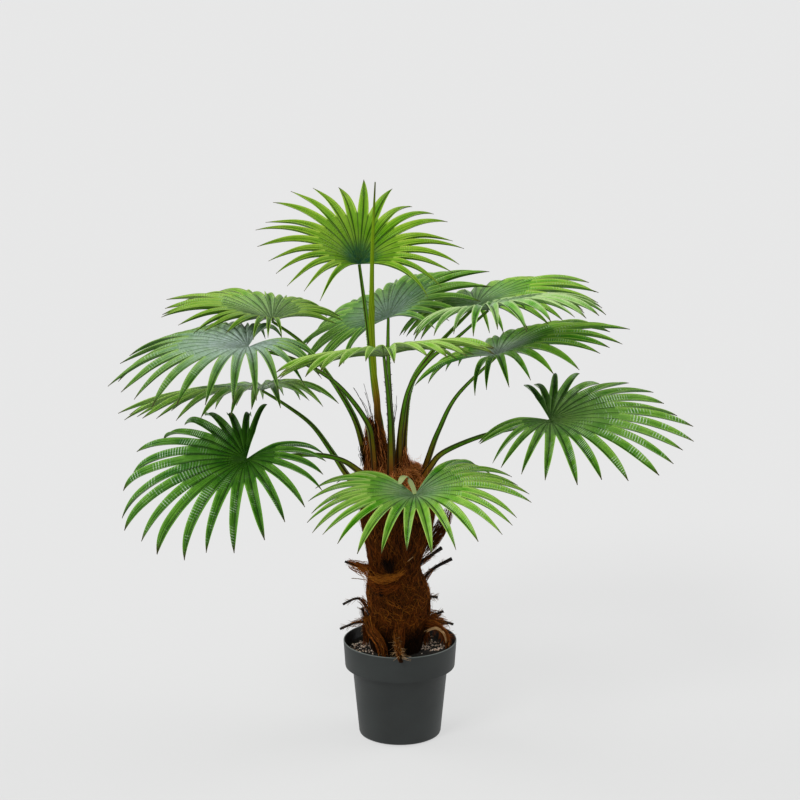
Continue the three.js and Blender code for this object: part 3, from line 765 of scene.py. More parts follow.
# Ties of coir
# Twists of longer fibre lie over the wrap: an orange one that runs from the upper left stub round
# the waist, pale straws, and a few dark wisps that stand up out of the crown.
for name, fibre, points, count, spread, curl in [
    ("tie_waist_front", coir_orange,
     [(-54, -6, 288), (-42, -32, 284), (-22, -45, 285), (0, -45, 294), (10, -43, 302)], 60, 11, 18),
    ("tie_waist_lower", coir_red,
     [(-52, -10, 278), (-42, -34, 272), (-24, -48, 270), (0, -48, 280)], 45, 13, 24),
    ("brush_left_upper_orange", coir_orange,
     [(-42, -22, 282), (-58, -8, 288), (-74, -2, 294), (-86, 2, 299)], 70, 17, 12),
    ("brush_left_upper_red", coir_red,
     [(-42, -22, 284), (-58, -8, 289), (-76, -2, 295), (-88, 2, 300)], 90, 18, 14),
    # A dense bundle of dark fibre in the hollow above the tie stands in for the shade there: painted
    # shade.
    ("hollow_above_tie", coir_dark, [(-20, -50, 322), (-18, -46, 308), (-16, -44, 294)], 150, 13, 10),
    ("knot_below_tie", coir_dark, [(-32, -46, 270), (-31, -47, 262), (-31, -47, 254)], 50, 6, 6),
    ("tie_waist_back", coir_orange,
     [(-48, 8, 290), (-34, 34, 276), (-6, 44, 268), (24, 34, 280), (34, 16, 292)], 60, 10, 16),
    ("strand_right", coir_straw,
     [(42, -34, 189), (50, -39, 195), (61, -42, 198), (71, -42, 191), (76, -40, 180), (77, -38, 170)],
     30, 3, 4),
    ("straw_front", coir_straw, [(4, -54, 312), (14, -56, 320), (24, -54, 328)], 3, 1, 2),
    ("straw_left", pale_fray, [(-46, -8, 268), (-62, -8, 272), (-82, -8, 274)], 5, 2, 3),
    ("wisp_left", coir_dark, [(-40, 0, 500), (-48, 0, 540), (-62, 0, 572), (-80, 0, 606)], 9, 4, 9),
    ("wisp_middle", coir_dark, [(-40, 6, 520), (-50, 6, 560), (-62, 4, 612)], 6, 3, 7),
    ("wisp_right", coir_dark, [(-14, 6, 500), (-10, 6, 540), (-5, 4, 592)], 6, 3, 6),
    ("wisp_side", coir_dark, [(-50, 0, 448), (-60, 0, 474), (-66, 0, 508)], 34, 9, 16),
]:
    tie = grow(name, path(name, points), bundle_tree, {
        "Count": count, "Foot spread": spread * MM, "Tip spread": 0.4 * spread * MM,
        "Latest start": 0.6, "Share": 0.5, "Thickness": 0.7 * MM, "Wander": curl * MM,
        "Seed": count, "Material": fibre,
    })
    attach(tie, "root")


# Old sheath
# A ragged net of fibre from a fallen leaf, thin enough to see through, that stands off the right
# shoulder of the trunk.
SHEATH = [(36, 0, 318), (62, -4, 350), (76, -6, 378), (80, -6, 402)]
line = path("old_sheath", SHEATH)
net = grow("old_sheath_net", line, bundle_tree, {
    "Count": 110, "Foot spread": 14 * MM, "Tip spread": 9 * MM, "Latest start": 0.3,
    "Share": 0.8, "Thickness": 0.8 * MM, "Wander": 16 * MM, "Seed": 41, "Material": coir_brown,
})
frays = grow("old_sheath_frays", line, bundle_tree, {
    "Count": 30, "Foot spread": 16 * MM, "Tip spread": 10 * MM, "Latest start": 0.4,
    "Share": 0.7, "Thickness": 0.6 * MM, "Wander": 20 * MM, "Seed": 42, "Material": coir_red,
})
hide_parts("old_sheath")
for piece in (net, frays):
    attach(piece, "root")


# Crown fibre
# A loose tuft of combed coir rises from the trunk's left shoulder round the feet of the spear leaf
# and the stems, with straggling ends.
CROWN_FIBRE = [(-24, 0, 430), (-33, 0, 462), (-39, 2, 500), (-44, 4, 540), (-46, 4, 580)]
tuft = grow("crown_fibre_core", path("crown_core", CROWN_FIBRE[:4]), rod_tree, {
    "Foot radius": 16 * MM, "Tip radius": 1 * MM, "Flare": 8 * MM, "Flatness": 0.8, "Point": 0.8,
    "Ribs": 5.0, "Rib depth": 0.1, "Roughness": 6 * MM, "Rings": 40, "Sides": 32,
    "Material": felt,
})
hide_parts("crown_fibre")
line = path("crown_fibre", CROWN_FIBRE)
combed = [
    grow("crown_fibre_" + shade, line, bundle_tree, {
        "Count": count, "Foot spread": spread * MM, "Tip spread": 5 * MM, "Latest start": 0.5,
        "Share": 0.35, "Thickness": 0.7 * MM, "Wander": 18 * MM, "Seed": 51 + i,
        "Material": fibre,
    })
    for i, (shade, fibre, count, spread) in enumerate([
        ("dark", coir_dark, 90, 30), ("brown", coir_brown, 300, 34), ("red", coir_red, 380, 34),
        ("orange", coir_orange, 220, 33), ("rust", coir_rust, 160, 34),
    ])
]
line = path("middle_tuft", [(0, -8, 436), (4, -10, 470), (3, -10, 512)])
combed += [
    grow("crown_fibre_middle_" + shade, line, bundle_tree, {
        "Count": count, "Foot spread": 22 * MM, "Tip spread": 5 * MM, "Latest start": 0.4,
        "Share": 0.5, "Thickness": 0.7 * MM, "Wander": 18 * MM, "Seed": 61 + count,
        "Material": fibre,
    })
    for shade, fibre, count in [("brown", coir_brown, 100), ("red", coir_red, 150),
                                ("rust", coir_rust, 130)]
]
for piece in (tuft, *combed):
    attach(piece, "root")


# Spear leaf
# The youngest leaf, still folded into a slim pleated spear that stands straight up out of the
# crown. It is moulded in one piece over a wire, yellow-green, and brown at its foot and tip.
SPEAR = [(-34, 2, 500), (-36, 2, 540), (-38, 1, 580), (-42, 0, 620), (-46, 2, 700), (-45, 3, 820),
         (-40, 5, 939)]
spear_plastic, tree, shader = new_material("yellow-green moulded polyethylene")
along = add(tree, "ShaderNodeAttribute", attribute_name="along").node.outputs["Fac"]
length = add(tree, "ShaderNodeValToRGB", {"Fac": along},
             [(0.08, "#5a3008"), (0.18, "#7c5a0a"), (0.28, "#7c8e0e"), (0.86, "#7c9a1a"),
              (0.97, "#4e5414")])
side = add(tree, "ShaderNodeAttribute", attribute_name="side").node.outputs["Fac"]
rib = add(tree, "ShaderNodeMath", [side, 30.0], operation="MULTIPLY")
rib = add(tree, "ShaderNodeMath", [rib], operation="SINE")
rib = add(tree, "ShaderNodeMapRange", {"Value": rib, "From Min": 0.2, "To Max": 0.4})
striped = add(tree, "ShaderNodeMix", {"Factor": rib, "A": length, "B": linear("#3f5206")},
              data_type="RGBA")
feed(shader, {"Base Color": striped, "Roughness": 0.4, "Specular IOR Level": 0.16})
spear = grow("spear_leaf_folded", path("spear_leaf", SPEAR), rod_tree, {
    "Foot radius": 6.4 * MM, "Tip radius": 3 * MM, "Flare": 1 * MM, "Flatness": 0.75,
    "Point": 0.65, "Ribs": 7.0, "Rib depth": 0.16, "Roughness": 0.0, "Rings": 90, "Sides": 56,
    "Material": spear_plastic,
})
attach(spear, "root")
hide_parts("spear_leaf")


# Fans
# Each fan is one moulding of soft polyethylene: a pleated palm of 23 leaflets that are joined for
# nearly half their length, then taper to thread-like tips. It is fixed on its stem at the hub.
SEGMENTS = 23
# Hub, (heading, pitch, roll), reach, span, cup, droop, how plumb the droop is, how far side
# leaflets turn over, share of the reach kept at the two ends, how much more the end leaflets bend,
# how late leaflets taper, and how far their tips lift.
FANS = {
    "top": ((-67, 60, 794), (104, 27, 0), 191, 270, 34, 64, 0.7, 0.0, 0.82, 0.1, 1.8, 5),
    "back": ((-20, 140, 686), (85, 8, -22), 225, 270, 15, 50, 0.35, 0.0, 0.6, 0.2, 3.2, 2),
    "left_back": ((-212, 71, 696), (145, 2, 2), 198, 270, 22, 52, 0.35, 0.0, 0.6, 0.2, 2.6, 4),
    "left_upper": ((-245, -55, 680), (205, -9, -2), 235, 270, 18, 60, 0.35, 0.2, 0.66, 0.3, 3, 6),
    "left_middle": ((-229, 50, 583), (189, -5, 12), 238, 260, 12, 42, 0.35, 0.2, 0.75, 0.3, 3.2, 4),
    "left_low": ((-247, -110, 508), (212, -26, -11), 236, 285, 19, 52, 0.35, 0.1, 0.62, 0.0, 5, -8),
    "front_upper": ((-25, -190, 695), (276, 15, 5), 196, 265, 14, 46, 0.35, 0.9, 0.8, 0, 3.6, 0),
    "right_back": ((128, 149, 706), (56, 8, -11), 240, 270, 10, 50, 0.35, 0.0, 0.5, 0.3, 3.2, 2),
    "right_upper": ((141, -61, 742), (310, 11, 0), 205, 267, 15, 52, 0.35, 0.3, 0.6, 0.1, 3, -4),
    "right_middle": ((158, -20, 658), (25, 13, -9), 220, 268, 14, 50, 0.35, 0.1, 0.72, 0.2, 3.4, 2),
    "right_low": ((243, -60, 560), (338, -7, 11), 236, 260, 15, 40, 0.35, 0.1, 0.6, 0.1, 4, 2),
    "front_low": ((24, -150, 460), (278, -9, 5), 192, 275, 18, 54, 0.35, 0.2, 0.95, 0.2, 2.8, 2),
}
# The greens of each fan: the blade, its pale edges and new parts, which also give the painted
# highlights on the ridges, the hub's bloom, which is partly a painted whitish sheen, how strong
# that is, how far along the leaflets it reaches, how pale the painted glints on the mould's
# ripples are, and on which half of a leaflet, the lit one, they fall; the other half gets a
# little painted shade.
FAN_GREENS = {
    "top": ("#6aa208", "#aac84c", "#2a6a50", 0.9, 0.3, 0.1, 2),
    "back": ("#468406", "#98c45c", "#b0c8bc", 0.85, 0.6, 0.2, 2),
    "left_back": ("#609804", "#a4c458", "#b0c8a0", 0.65, 0.75, 0.2, -2),
    "left_upper": ("#387404", "#90b460", "#bccec6", 1.0, 0.8, 0.3, -2),
    "left_middle": ("#58980a", "#aacc68", "#bccebc", 0.8, 0.65, 0.2, -2),
    "left_low": ("#286602", "#78aa40", "#246008", 0.4, 0.4, 0.6, -2),
    "front_upper": ("#70a80c", "#b8d478", "#b0c894", 0.5, 0.5, 0.2, 2),
    "right_back": ("#489008", "#a8cc58", "#a8c4a4", 0.6, 0.5, 0.2, 2),
    "right_upper": ("#5aa008", "#c8e0a0", "#c8dcc4", 0.8, 0.6, 0.2, 2),
    "right_middle": ("#469006", "#9cc454", "#c8d6cc", 0.9, 0.42, 0.4, 2),
    "right_low": ("#3c7c04", "#96c058", "#8ca474", 0.45, 0.7, 0.7, 2),
    "front_low": ("#58a40a", "#bcdc74", "#b4ccb0", 0.7, 0.42, 0.5, 2),
}

tree, given = new_tree("moulded palm fan", {
    "Leaflets": "Int", "Reach": "Float", "Step": "Float", "Cup": "Float", "Droop": "Float",
    "End share": "Float", "End bend": "Float", "Phase": "Float", "Upward": "Vector",
    "Pleat": "Float", "Sag": "Float", "Swing": "Float", "Twist": "Float", "Hang": "Float",
    "Tip lift": "Float", "Taper": "Float", "Seed": "Int",
})
# How quickly leaflets shorten to the sides and where the last one stands, the least share of a
# leaflet that is joined and how much more in the middle, and how a free one narrows to its tip.
SPREAD = 0.7
END_TURN = math.radians(130)
WEB_LEAST = 0.4
WEB_MORE = 0.08
NARROWING = 1.55
TIP_WIDTH = 0.06
# How many times and how much the lengths rise and fall round the fan.
LENGTH_WAVES = 9.0
LENGTH_WAVE = 0.03
# How much of its own strip of the chart a leaflet takes up, and the margin beside it.
STRIP_WIDTH = 0.92
STRIP_MARGIN = 0.04
# How late along a leaflet its droop and its own turns come in, and how soon its pleat is full.
DROOP_LATE = 1.5
TURN_LATE = 1.6
PLEAT_SOON = 2.2

leaflet = add(tree, "GeometryNodeMeshGrid",
              {"Size X": 2.0, "Size Y": 1.0, "Vertices X": 7, "Vertices Y": 60})
chart = leaflet.node.outputs["UV Map"]
leaflet = add(tree, "GeometryNodeStoreNamedAttribute",
              {"Geometry": leaflet, "Name": "OFBake", "Value": chart},
              data_type="FLOAT2", domain="CORNER")
seats = add(tree, "GeometryNodeMeshLine", {"Count": given["Leaflets"], "Offset": (0, 0, 0)})
blades = add(tree, "GeometryNodeInstanceOnPoints", {"Points": seats, "Instance": leaflet})
blades, number = numbered(tree, blades, "leaflet")
chart = add(tree, "GeometryNodeInputNamedAttribute", {"Name": "OFBake"}, data_type="FLOAT_VECTOR")
chart = add(tree, "ShaderNodeSeparateXYZ", {"Vector": chart}).node.outputs
strip = add(tree, "ShaderNodeMath", [chart["X"], STRIP_WIDTH, STRIP_MARGIN],
            operation="MULTIPLY_ADD")
strip = add(tree, "ShaderNodeMath", [strip, number], operation="ADD")
strip = add(tree, "ShaderNodeMath", [strip, given["Leaflets"]], operation="DIVIDE")
blades = add(tree, "GeometryNodeStoreNamedAttribute",
             {"Geometry": blades, "Name": "OFBake",
              "Value": add(tree, "ShaderNodeCombineXYZ", [strip, chart["Y"]])},
             data_type="FLOAT2", domain="CORNER")

# Where a point lies on its leaflet: from edge to edge, from hub to tip, and beyond the joined part.
flat = add(tree, "GeometryNodeInputPosition")
flat = add(tree, "ShaderNodeSeparateXYZ", {"Vector": flat}).node.outputs
blades = add(tree, "GeometryNodeStoreNamedAttribute",
             {"Geometry": blades, "Name": "across", "Value": flat["X"]}, data_type="FLOAT")
blades = add(tree, "GeometryNodeStoreNamedAttribute",
             {"Geometry": blades, "Name": "along",
              "Value": add(tree, "ShaderNodeMath", [flat["Y"], 0.5], operation="ADD")},
             data_type="FLOAT")
tone = add(tree, "FunctionNodeRandomValue", {0: 0.0, 1: 1.0, "ID": number, "Seed": 61})
blades = add(tree, "GeometryNodeStoreNamedAttribute",
             {"Geometry": blades, "Name": "tone", "Value": tone}, data_type="FLOAT")
across = add(tree, "GeometryNodeInputNamedAttribute", {"Name": "across"}, data_type="FLOAT")
along = add(tree, "GeometryNodeInputNamedAttribute", {"Name": "along"}, data_type="FLOAT")
chances = [add(tree, "FunctionNodeRandomValue",
               {0: -1.0, 1: 1.0, "ID": number,
                "Seed": add(tree, "ShaderNodeMath", [given["Seed"], i], operation="ADD")})
           for i in range(4)]
known = {socket.name: socket for socket in given}
known |= {"number": number, "across": across, "along": along}
known |= dict(zip(("any twist", "any sag", "any swing", "any lift"), chances))
work_out(tree, "ShaderNodeMath", known, [
    ("half_step", "MULTIPLY", "Step", 0.5),
    ("middle", "SUBTRACT", "number", (SEGMENTS - 1) / 2),
    ("middle", "MULTIPLY", "middle", "Step"),
    ("web", "MULTIPLY", "middle", SPREAD),
    ("web", "COSINE", "web"),
    ("web", "POWER", "web", 2.0),
    ("web", "MULTIPLY_ADD", "web", WEB_MORE, WEB_LEAST),
])
known["free"] = add(tree, "ShaderNodeMapRange", {"Value": along, "From Min": known["web"]})
work_out(tree, "ShaderNodeMath", known, [
    # How wide the leaflet is here, and the point's angle from the fan's middle.
    ("spent", "POWER", "free", "Taper"),
    ("taper", "SUBTRACT", 1.0, "spent"),
    ("taper", "MAXIMUM", "taper", TIP_WIDTH),
    ("narrow", "DIVIDE", "web", "along"),
    ("narrow", "MINIMUM", "narrow", 1.0),
    ("narrow", "POWER", "narrow", NARROWING),
    ("narrow", "MULTIPLY", "narrow", "taper"),
    ("beside", "MULTIPLY", "across", "half_step"),
    ("beside", "MULTIPLY", "beside", "narrow"),
    ("angle", "ADD", "middle", "beside"),
    # The leaflet's length at that angle.
    ("short", "MULTIPLY", "angle", SPREAD),
    ("short", "COSINE", "short"),
    ("short", "SUBTRACT", 1.0, "short"),
    ("short", "DIVIDE", "short", 1 - math.cos(SPREAD * END_TURN)),
    ("stoop", "MULTIPLY_ADD", "short", "End bend", 1.0),
    ("less", "SUBTRACT", "End share", 1.0),
    ("length", "MULTIPLY_ADD", "short", "less", 1.0),
    ("uneven", "MULTIPLY_ADD", "angle", LENGTH_WAVES, "Phase"),
    ("uneven", "SINE", "uneven"),
    ("uneven", "MULTIPLY_ADD", "uneven", LENGTH_WAVE, 1.0),
    ("length", "MULTIPLY", "length", "uneven"),
    ("length", "MULTIPLY", "length", "Reach"),
    # The way that it leaves the hub, on the cup.
    ("level", "COSINE", "Cup"),
    ("forward", "COSINE", "angle"),
    ("forward", "MULTIPLY", "forward", "level"),
    ("aside", "SINE", "angle"),
    ("hung", "MULTIPLY", "aside", "Hang"),
    ("aside", "MULTIPLY", "aside", "level"),
    ("above", "SINE", "Cup"),
    # The bend under its own weight, as an arc that tightens from hub to tip, summed as a series.
    ("bend", "POWER", "along", DROOP_LATE),
    ("bend", "MULTIPLY", "bend", "Droop"),
    ("bend", "MULTIPLY", "bend", "stoop"),
    ("square", "MULTIPLY", "bend", "bend"),
    ("fourth", "MULTIPLY", "square", "square"),
    ("run", "MULTIPLY", "length", "along"),
    ("ahead", "MULTIPLY_ADD", "square", -1 / 8, 1.0),
    ("ahead", "MULTIPLY_ADD", "fourth", 1 / 168, "ahead"),
    ("ahead", "MULTIPLY", "ahead", "run"),
    ("fall", "MULTIPLY_ADD", "square", -1 / 33, 0.4),
    ("fall", "MULTIPLY_ADD", "fourth", 1 / 1020, "fall"),
    ("fall", "MULTIPLY", "fall", "bend"),
    ("fall", "MULTIPLY", "fall", "run"),
    # Each leaflet is a shallow V, and twists, sags, swings and lifts its tip a little differently.
    ("fold", "ABSOLUTE", "across"),
    ("fold", "MULTIPLY_ADD", "fold", 2.0, -1.0),
    ("near", "MULTIPLY", "along", PLEAT_SOON),
    ("near", "MINIMUM", "near", 1.0),
    ("fold", "MULTIPLY", "fold", "near"),
    ("fold", "MULTIPLY", "fold", "taper"),
    ("later", "POWER", "free", TURN_LATE),
    ("wide", "MULTIPLY", "beside", "run"),
    ("twist", "MULTIPLY_ADD", "any twist", "Twist", "hung"),
    ("twist", "MULTIPLY", "twist", "later"),
    ("sag", "MULTIPLY", "any sag", "Sag"),
    # A tip lifts over the last two fifths of the free part.
    ("tip", "MULTIPLY_ADD", "free", 2.5, -1.5),
    ("tip", "MAXIMUM", "tip", 0.0),
    ("tip", "POWER", "tip", 2.0),
    ("flick", "MULTIPLY_ADD", "any lift", 0.5, 0.7),
    ("flick", "MULTIPLY", "flick", "Tip lift"),
    ("rise", "MULTIPLY", "fold", "Pleat"),
    ("rise", "MULTIPLY_ADD", "twist", "wide", "rise"),
    ("rise", "MULTIPLY_ADD", "sag", "later", "rise"),
    ("rise", "MULTIPLY_ADD", "tip", "flick", "rise"),
    ("swing", "MULTIPLY", "any swing", "Swing"),
    ("swing", "MULTIPLY", "swing", "later"),
    ("cosine", "COSINE", "bend"),
    ("sine", "SINE", "bend"),
])
known["start"] = add(tree, "ShaderNodeCombineXYZ",
                     [known["forward"], known["aside"], known["above"]])
known["share"] = add(tree, "ShaderNodeVectorMath", [given["Upward"], known["start"]],
                     operation="DOT_PRODUCT").node.outputs["Value"]
work_out(tree, "ShaderNodeVectorMath", known, [
    # The plane that it bends in, and its place along, below, above and beside its own line there.
    ("lean", "SCALE", "start", "share"),
    ("lift", "SUBTRACT", "Upward", "lean"),
    ("lift", "NORMALIZE", "lift"),
    ("beam", "CROSS_PRODUCT", "lift", "start"),
    ("normal", "SCALE", "lift", "cosine"),
    ("tilted", "SCALE", "start", "sine"),
    ("normal", "ADD", "normal", "tilted"),
    ("place", "SCALE", "start", "ahead"),
    ("down", "SCALE", "lift", "fall"),
    ("place", "SUBTRACT", "place", "down"),
    ("raised", "SCALE", "normal", "rise"),
    ("place", "ADD", "place", "raised"),
    ("swung", "SCALE", "beam", "swing"),
    ("place", "ADD", "place", "swung"),
])
blades = add(tree, "GeometryNodeSetPosition", {"Geometry": blades, "Position": known["place"]})
blades = add(tree, "GeometryNodeMergeByDistance", {"Geometry": blades, "Distance": 0.02 * MM})
fan_tree = close_tree(tree, blades, given["Material"])


# The cross ripples along a leaflet, and the fine ribs across half of one.
RIPPLES = 46
RIBS = 3.5


def leaf_plastic(name, green, pale, bloom, bloomed, bloom_reach, glints, lit_half):
    """Moulded polyethylene, satin, with fine ribs along it and cross ripples 5 mm apart from the
    mould, a bloom round the hub that is partly a painted whitish sheen, dark mid-lines of painted
    shade in each leaflet's valley, one half of each leaflet a little darker as painted shade, pale
    rims that are partly pale margins and partly painted highlights on the ridges, painted glints on
    the ripples, and brown tips."""
    material, tree, shader = new_material(name)
    place = add(tree, "ShaderNodeTexCoord").node.outputs["Object"]
    along, across, tone = [
        add(tree, "ShaderNodeAttribute", attribute_name=fact).node.outputs["Fac"]
        for fact in ("along", "across", "tone")
    ]
    cloud, speck, patch = [
        add(tree, "ShaderNodeTexNoise", {"Vector": place, "Scale": scale, "Detail": detail})
        for scale, detail in ((38.0, 4.0), (160.0, 3.0), (34.0, 2.0))
    ]
    # A map range is given its value, where that begins and ends, and what comes of it at each end.
    # These say how wide the painted shade of the mid-line is, and where the rims with their painted
    # highlights, the painted glints and the brown tip begin.
    widen, apart, outer, end = [
        add(tree, "ShaderNodeMapRange", [along, *limits])
        for limits in ((0.05, 0.55, 0.5, 1.0), (0.0, 0.3, 0.0, 1.0), (0.2, 0.5, 0.0, 1.0),
                       (0.92, 0.99, 0.0, 0.9))
    ]
    shade = add(tree, "ShaderNodeMath", [tone, 0.35, cloud], operation="MULTIPLY_ADD")
    shade = add(tree, "ShaderNodeMapRange", [shade, 0.45, 0.95, 0.0, 0.6])
    # The hub's bloom is pale powder, and partly a painted whitish sheen.
    bloom_and_sheen = add(tree, "ShaderNodeMapRange", [along, 0.08, bloom_reach, bloomed, 0.0],
                interpolation_type="SMOOTHSTEP")
    speck = add(tree, "ShaderNodeMapRange", [speck, 0.3, 0.65, 0.6, 1.1])
    bloom_and_sheen = add(tree, "ShaderNodeMath", [bloom_and_sheen, speck], operation="MULTIPLY")
    beside = add(tree, "ShaderNodeMath", [across], operation="ABSOLUTE")
    crease = add(tree, "ShaderNodeMath", [beside, widen], operation="MULTIPLY")
    # Painted shade: a dark mid-line along the valley of each leaflet's fold.
    painted_shade = add(tree, "ShaderNodeMapRange", [crease, 0.05, 0.24, 0.85, 0.0])
    half = add(tree, "ShaderNodeMath", [across, lit_half, 0.5], operation="MULTIPLY_ADD",
               use_clamp=True)
    # Painted shade: the half of each leaflet away from the light is a little darker.
    painted_half_shade = add(tree, "ShaderNodeMapRange", [half, 0.0, 1.0, 0.2, 0.0])
    painted_shade = add(tree, "ShaderNodeMath", [painted_shade, painted_half_shade], operation="MAXIMUM")
    bare = add(tree, "ShaderNodeMath", [bloom_and_sheen, -0.4, 1.0], operation="MULTIPLY_ADD")
    painted_shade = add(tree, "ShaderNodeMath", [painted_shade, bare], operation="MULTIPLY")
    # Pale rims: partly pale margins of the moulding, partly a painted highlight on the ridges between
    # leaflets.
    margin_and_highlight = add(tree, "ShaderNodeMapRange", [beside, 0.7, 0.92, 0.0, 0.85])
    margin_and_highlight = add(tree, "ShaderNodeMath", [margin_and_highlight, apart], operation="MULTIPLY")
    steps = add(tree, "ShaderNodeMath", [along, math.tau * RIPPLES, beside],
                operation="MULTIPLY_ADD")
    ripple = add(tree, "ShaderNodeMath", [steps], operation="SINE")
    patch = add(tree, "ShaderNodeMapRange", [patch, 0.46, 0.62])
    ripple = add(tree, "ShaderNodeMath", [ripple, patch], operation="MULTIPLY")
    # Painted glints: pale bars on the ripples, on the lit half and beyond the hub.
    glint = add(tree, "ShaderNodeMapRange", [ripple, 0.1, 0.8, 0.0, glints])
    for part in (half, outer):
        glint = add(tree, "ShaderNodeMath", [glint, part], operation="MULTIPLY")
    # The coats, one over the other: a paler tone at random, the bloom with its painted sheen, painted
    # shade, pale margins with painted highlights, painted glints and the brown tips.
    colour = linear(green)
    for coat, code in [(shade, pale), (bloom_and_sheen, bloom), (painted_shade, "#1a3a04"), (margin_and_highlight, pale),
                       (glint, "#cfe0ca"), (end, "#564232")]:
        colour = add(tree, "ShaderNodeMix", {"Factor": coat, "A": colour, "B": linear(code)},
                     data_type="RGBA")
    ribs = add(tree, "ShaderNodeMath", [beside, math.tau * RIBS], operation="MULTIPLY")
    ribs = add(tree, "ShaderNodeMath", [ribs], operation="COSINE")
    height = cloud
    for part in (ribs, ripple):
        height = add(tree, "ShaderNodeMath", [part, 0.22, height], operation="MULTIPLY_ADD")
    relief = add(tree, "ShaderNodeBump", {"Strength": 0.8, "Distance": 0.002, "Height": height})
    gloss = add(tree, "ShaderNodeMapRange", [patch, 0.0, 1.0, 0.42, 0.26])
    feed(shader, {"Base Color": colour, "Normal": relief, "Roughness": gloss,
                  "Specular IOR Level": 0.22})
    return material


def fan_axes(heading, pitch, roll):
    """The fan's outward, leftward and upward axes, from three angles in degrees."""
    heading, pitch, roll = map(math.radians, (heading, pitch, roll))
    outward = Vector((math.cos(heading) * math.cos(pitch), math.sin(heading) * math.cos(pitch),
                      math.sin(pitch)))
    level = Vector((-math.sin(heading), math.cos(heading), 0))
    leftward = Matrix.Rotation(roll, 3, outward) @ level
    return outward, leftward, outward.cross(leftward)


for i, (name, sizes) in enumerate(FANS.items()):
    hub, aim, reach, span, cup, droop, plumb, hang, end_share, end_bend, late_taper, tip_lift = sizes
    outward, leftward, upward = fan_axes(*aim)
    fan = grow("fan_" + name, bpy.data.meshes.new("fan"), fan_tree, {
        "Leaflets": SEGMENTS, "Reach": reach * MM, "Step": math.radians(span / (SEGMENTS - 1)),
        "Cup": math.radians(cup), "Droop": math.radians(droop), "End share": end_share,
        "End bend": float(end_bend), "Phase": float(aim[0]),
        "Upward": plumb * Vector((outward.z, leftward.z, upward.z)) + Vector((0, 0, 1 - plumb)),
        "Pleat": 4 * MM, "Sag": 9 * MM, "Swing": 7 * MM, "Twist": 0.6, "Hang": hang,
        "Tip lift": tip_lift * MM, "Taper": late_taper, "Seed": 100 + 10 * i,
        "Material": leaf_plastic(name.replace("_", " ") + " fan polyethylene", *FAN_GREENS[name]),
    })
    axes = Matrix((outward, leftward, upward)).transposed().to_4x4()
    fan.data.transform(Matrix.Translation(Vector(hub) * MM) @ axes)
    wall = fan.modifiers.new("wall", "SOLIDIFY")
    wall.thickness = 0.5 * MM
    wall.offset = 0
    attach(fan, "root")
    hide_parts("frond_" + name)

# One narrow leaflet of the front low fan is folded back over its hub and shows its pale underside.
underside, tree, shader = new_material("pale green polyethylene")
feed(shader, {"Base Color": linear("#a8b47c"), "Roughness": 0.4})
fold = grow("fan_front_low_fold", path("fold", [
    (24, -149, 461), (20, -139, 471), (14, -132, 481), (9, -135, 487), (4, -142, 486),
    (-1, -150, 478),
]), rod_tree, {
    "Foot radius": 3.5 * MM, "Tip radius": 8 * MM, "Flare": 0.0, "Flatness": 0.1, "Point": 0.6,
    "Ribs": 0.0, "Rib depth": 0.0, "Roughness": 0.0, "Rings": 24, "Sides": 16,
    "Material": underside,
})
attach(fold, "root")


# Stems
# Each fan stands on a wire sheathed in green plastic that is bent out by hand. The stem flares to a
# brown foot in the crown's fibre, and its two edges are darker and carry small teeth.
STEMS = {
    "top": [(-29, 20, 440), (-31, 21, 520), (-41, 24, 580), (-49, 30, 653), (-54, 38, 698)],
    "back": [(-13, 27, 440), (-14, 32, 516), (-17, 50, 567), (-20, 92, 637)],
    "left_back": [(-50, 15, 440), (-60, 16, 491), (-77, 22, 546), (-116, 42, 607),
                  (-162, 60, 661)],
    "left_upper": [(-40, -17, 440), (-46, -18, 512), (-58, -22, 554), (-106, -34, 617),
                   (-170, -48, 658)],
    "left_middle": [(-50, 10, 398), (-87, 16, 445), (-112, 25, 482), (-146, 38, 526),
                    (-188, 47, 557)],
    "left_low": [(-42, -26, 440), (-64, -38, 465), (-98, -60, 494), (-150, -82, 508)],
    "front_upper": [(-15, -33, 440), (-15, -42, 531), (-18, -82, 599)],
    "right_back": [(4, 15, 440), (7, 20, 523), (19, 44, 595), (57, 92, 643)],
    "right_upper": [(-3, -13, 440), (1, -12, 530), (15, -13, 601), (47, -24, 651), (88, -42, 689)],
    "right_middle": [(34, 2, 435), (47, 0, 480), (64, -5, 529), (94, -12, 590)],
    "right_low": [(32, -20, 440), (50, -24, 472), (72, -29, 498), (130, -44, 528),
                  (190, -56, 546)],
    "front_low": [(-8, -38, 425), (-2, -74, 450), (10, -110, 452)],
}
stem_plastic, tree, shader = new_material("green polyethylene over wire")
along = add(tree, "ShaderNodeAttribute", attribute_name="along").node.outputs["Fac"]
side = add(tree, "ShaderNodeAttribute", attribute_name="side").node.outputs["Fac"]
place = add(tree, "ShaderNodeTexCoord").node.outputs["Object"]
cloud = add(tree, "ShaderNodeTexNoise", {"Vector": place, "Scale": 55.0, "Detail": 3.0})
shade = add(tree, "ShaderNodeMath", [cloud, 0.16, along], operation="MULTIPLY_ADD")
length = add(tree, "ShaderNodeValToRGB", {"Fac": shade},
             [(0.15, "#7a4612"), (0.27, "#76680f"), (0.43, "#528216"), (0.95, "#5e8a24")])
beside = add(tree, "ShaderNodeMath", [side], operation="ABSOLUTE")
edge = add(tree, "ShaderNodeMapRange",
           {"Value": beside, "From Min": 0.36, "From Max": 0.46, "To Max": 0.95})
colour = add(tree, "ShaderNodeMix", {"Factor": edge, "A": length, "B": linear("#33250a")},
             data_type="RGBA")
feed(shader, {"Base Color": colour, "Roughness": 0.4, "Specular IOR Level": 0.16})

tooth_plastic, tree, shader = new_material("brown-edged polyethylene")
feed(shader, {"Base Color": linear("#3a2a10"), "Roughness": 0.5})

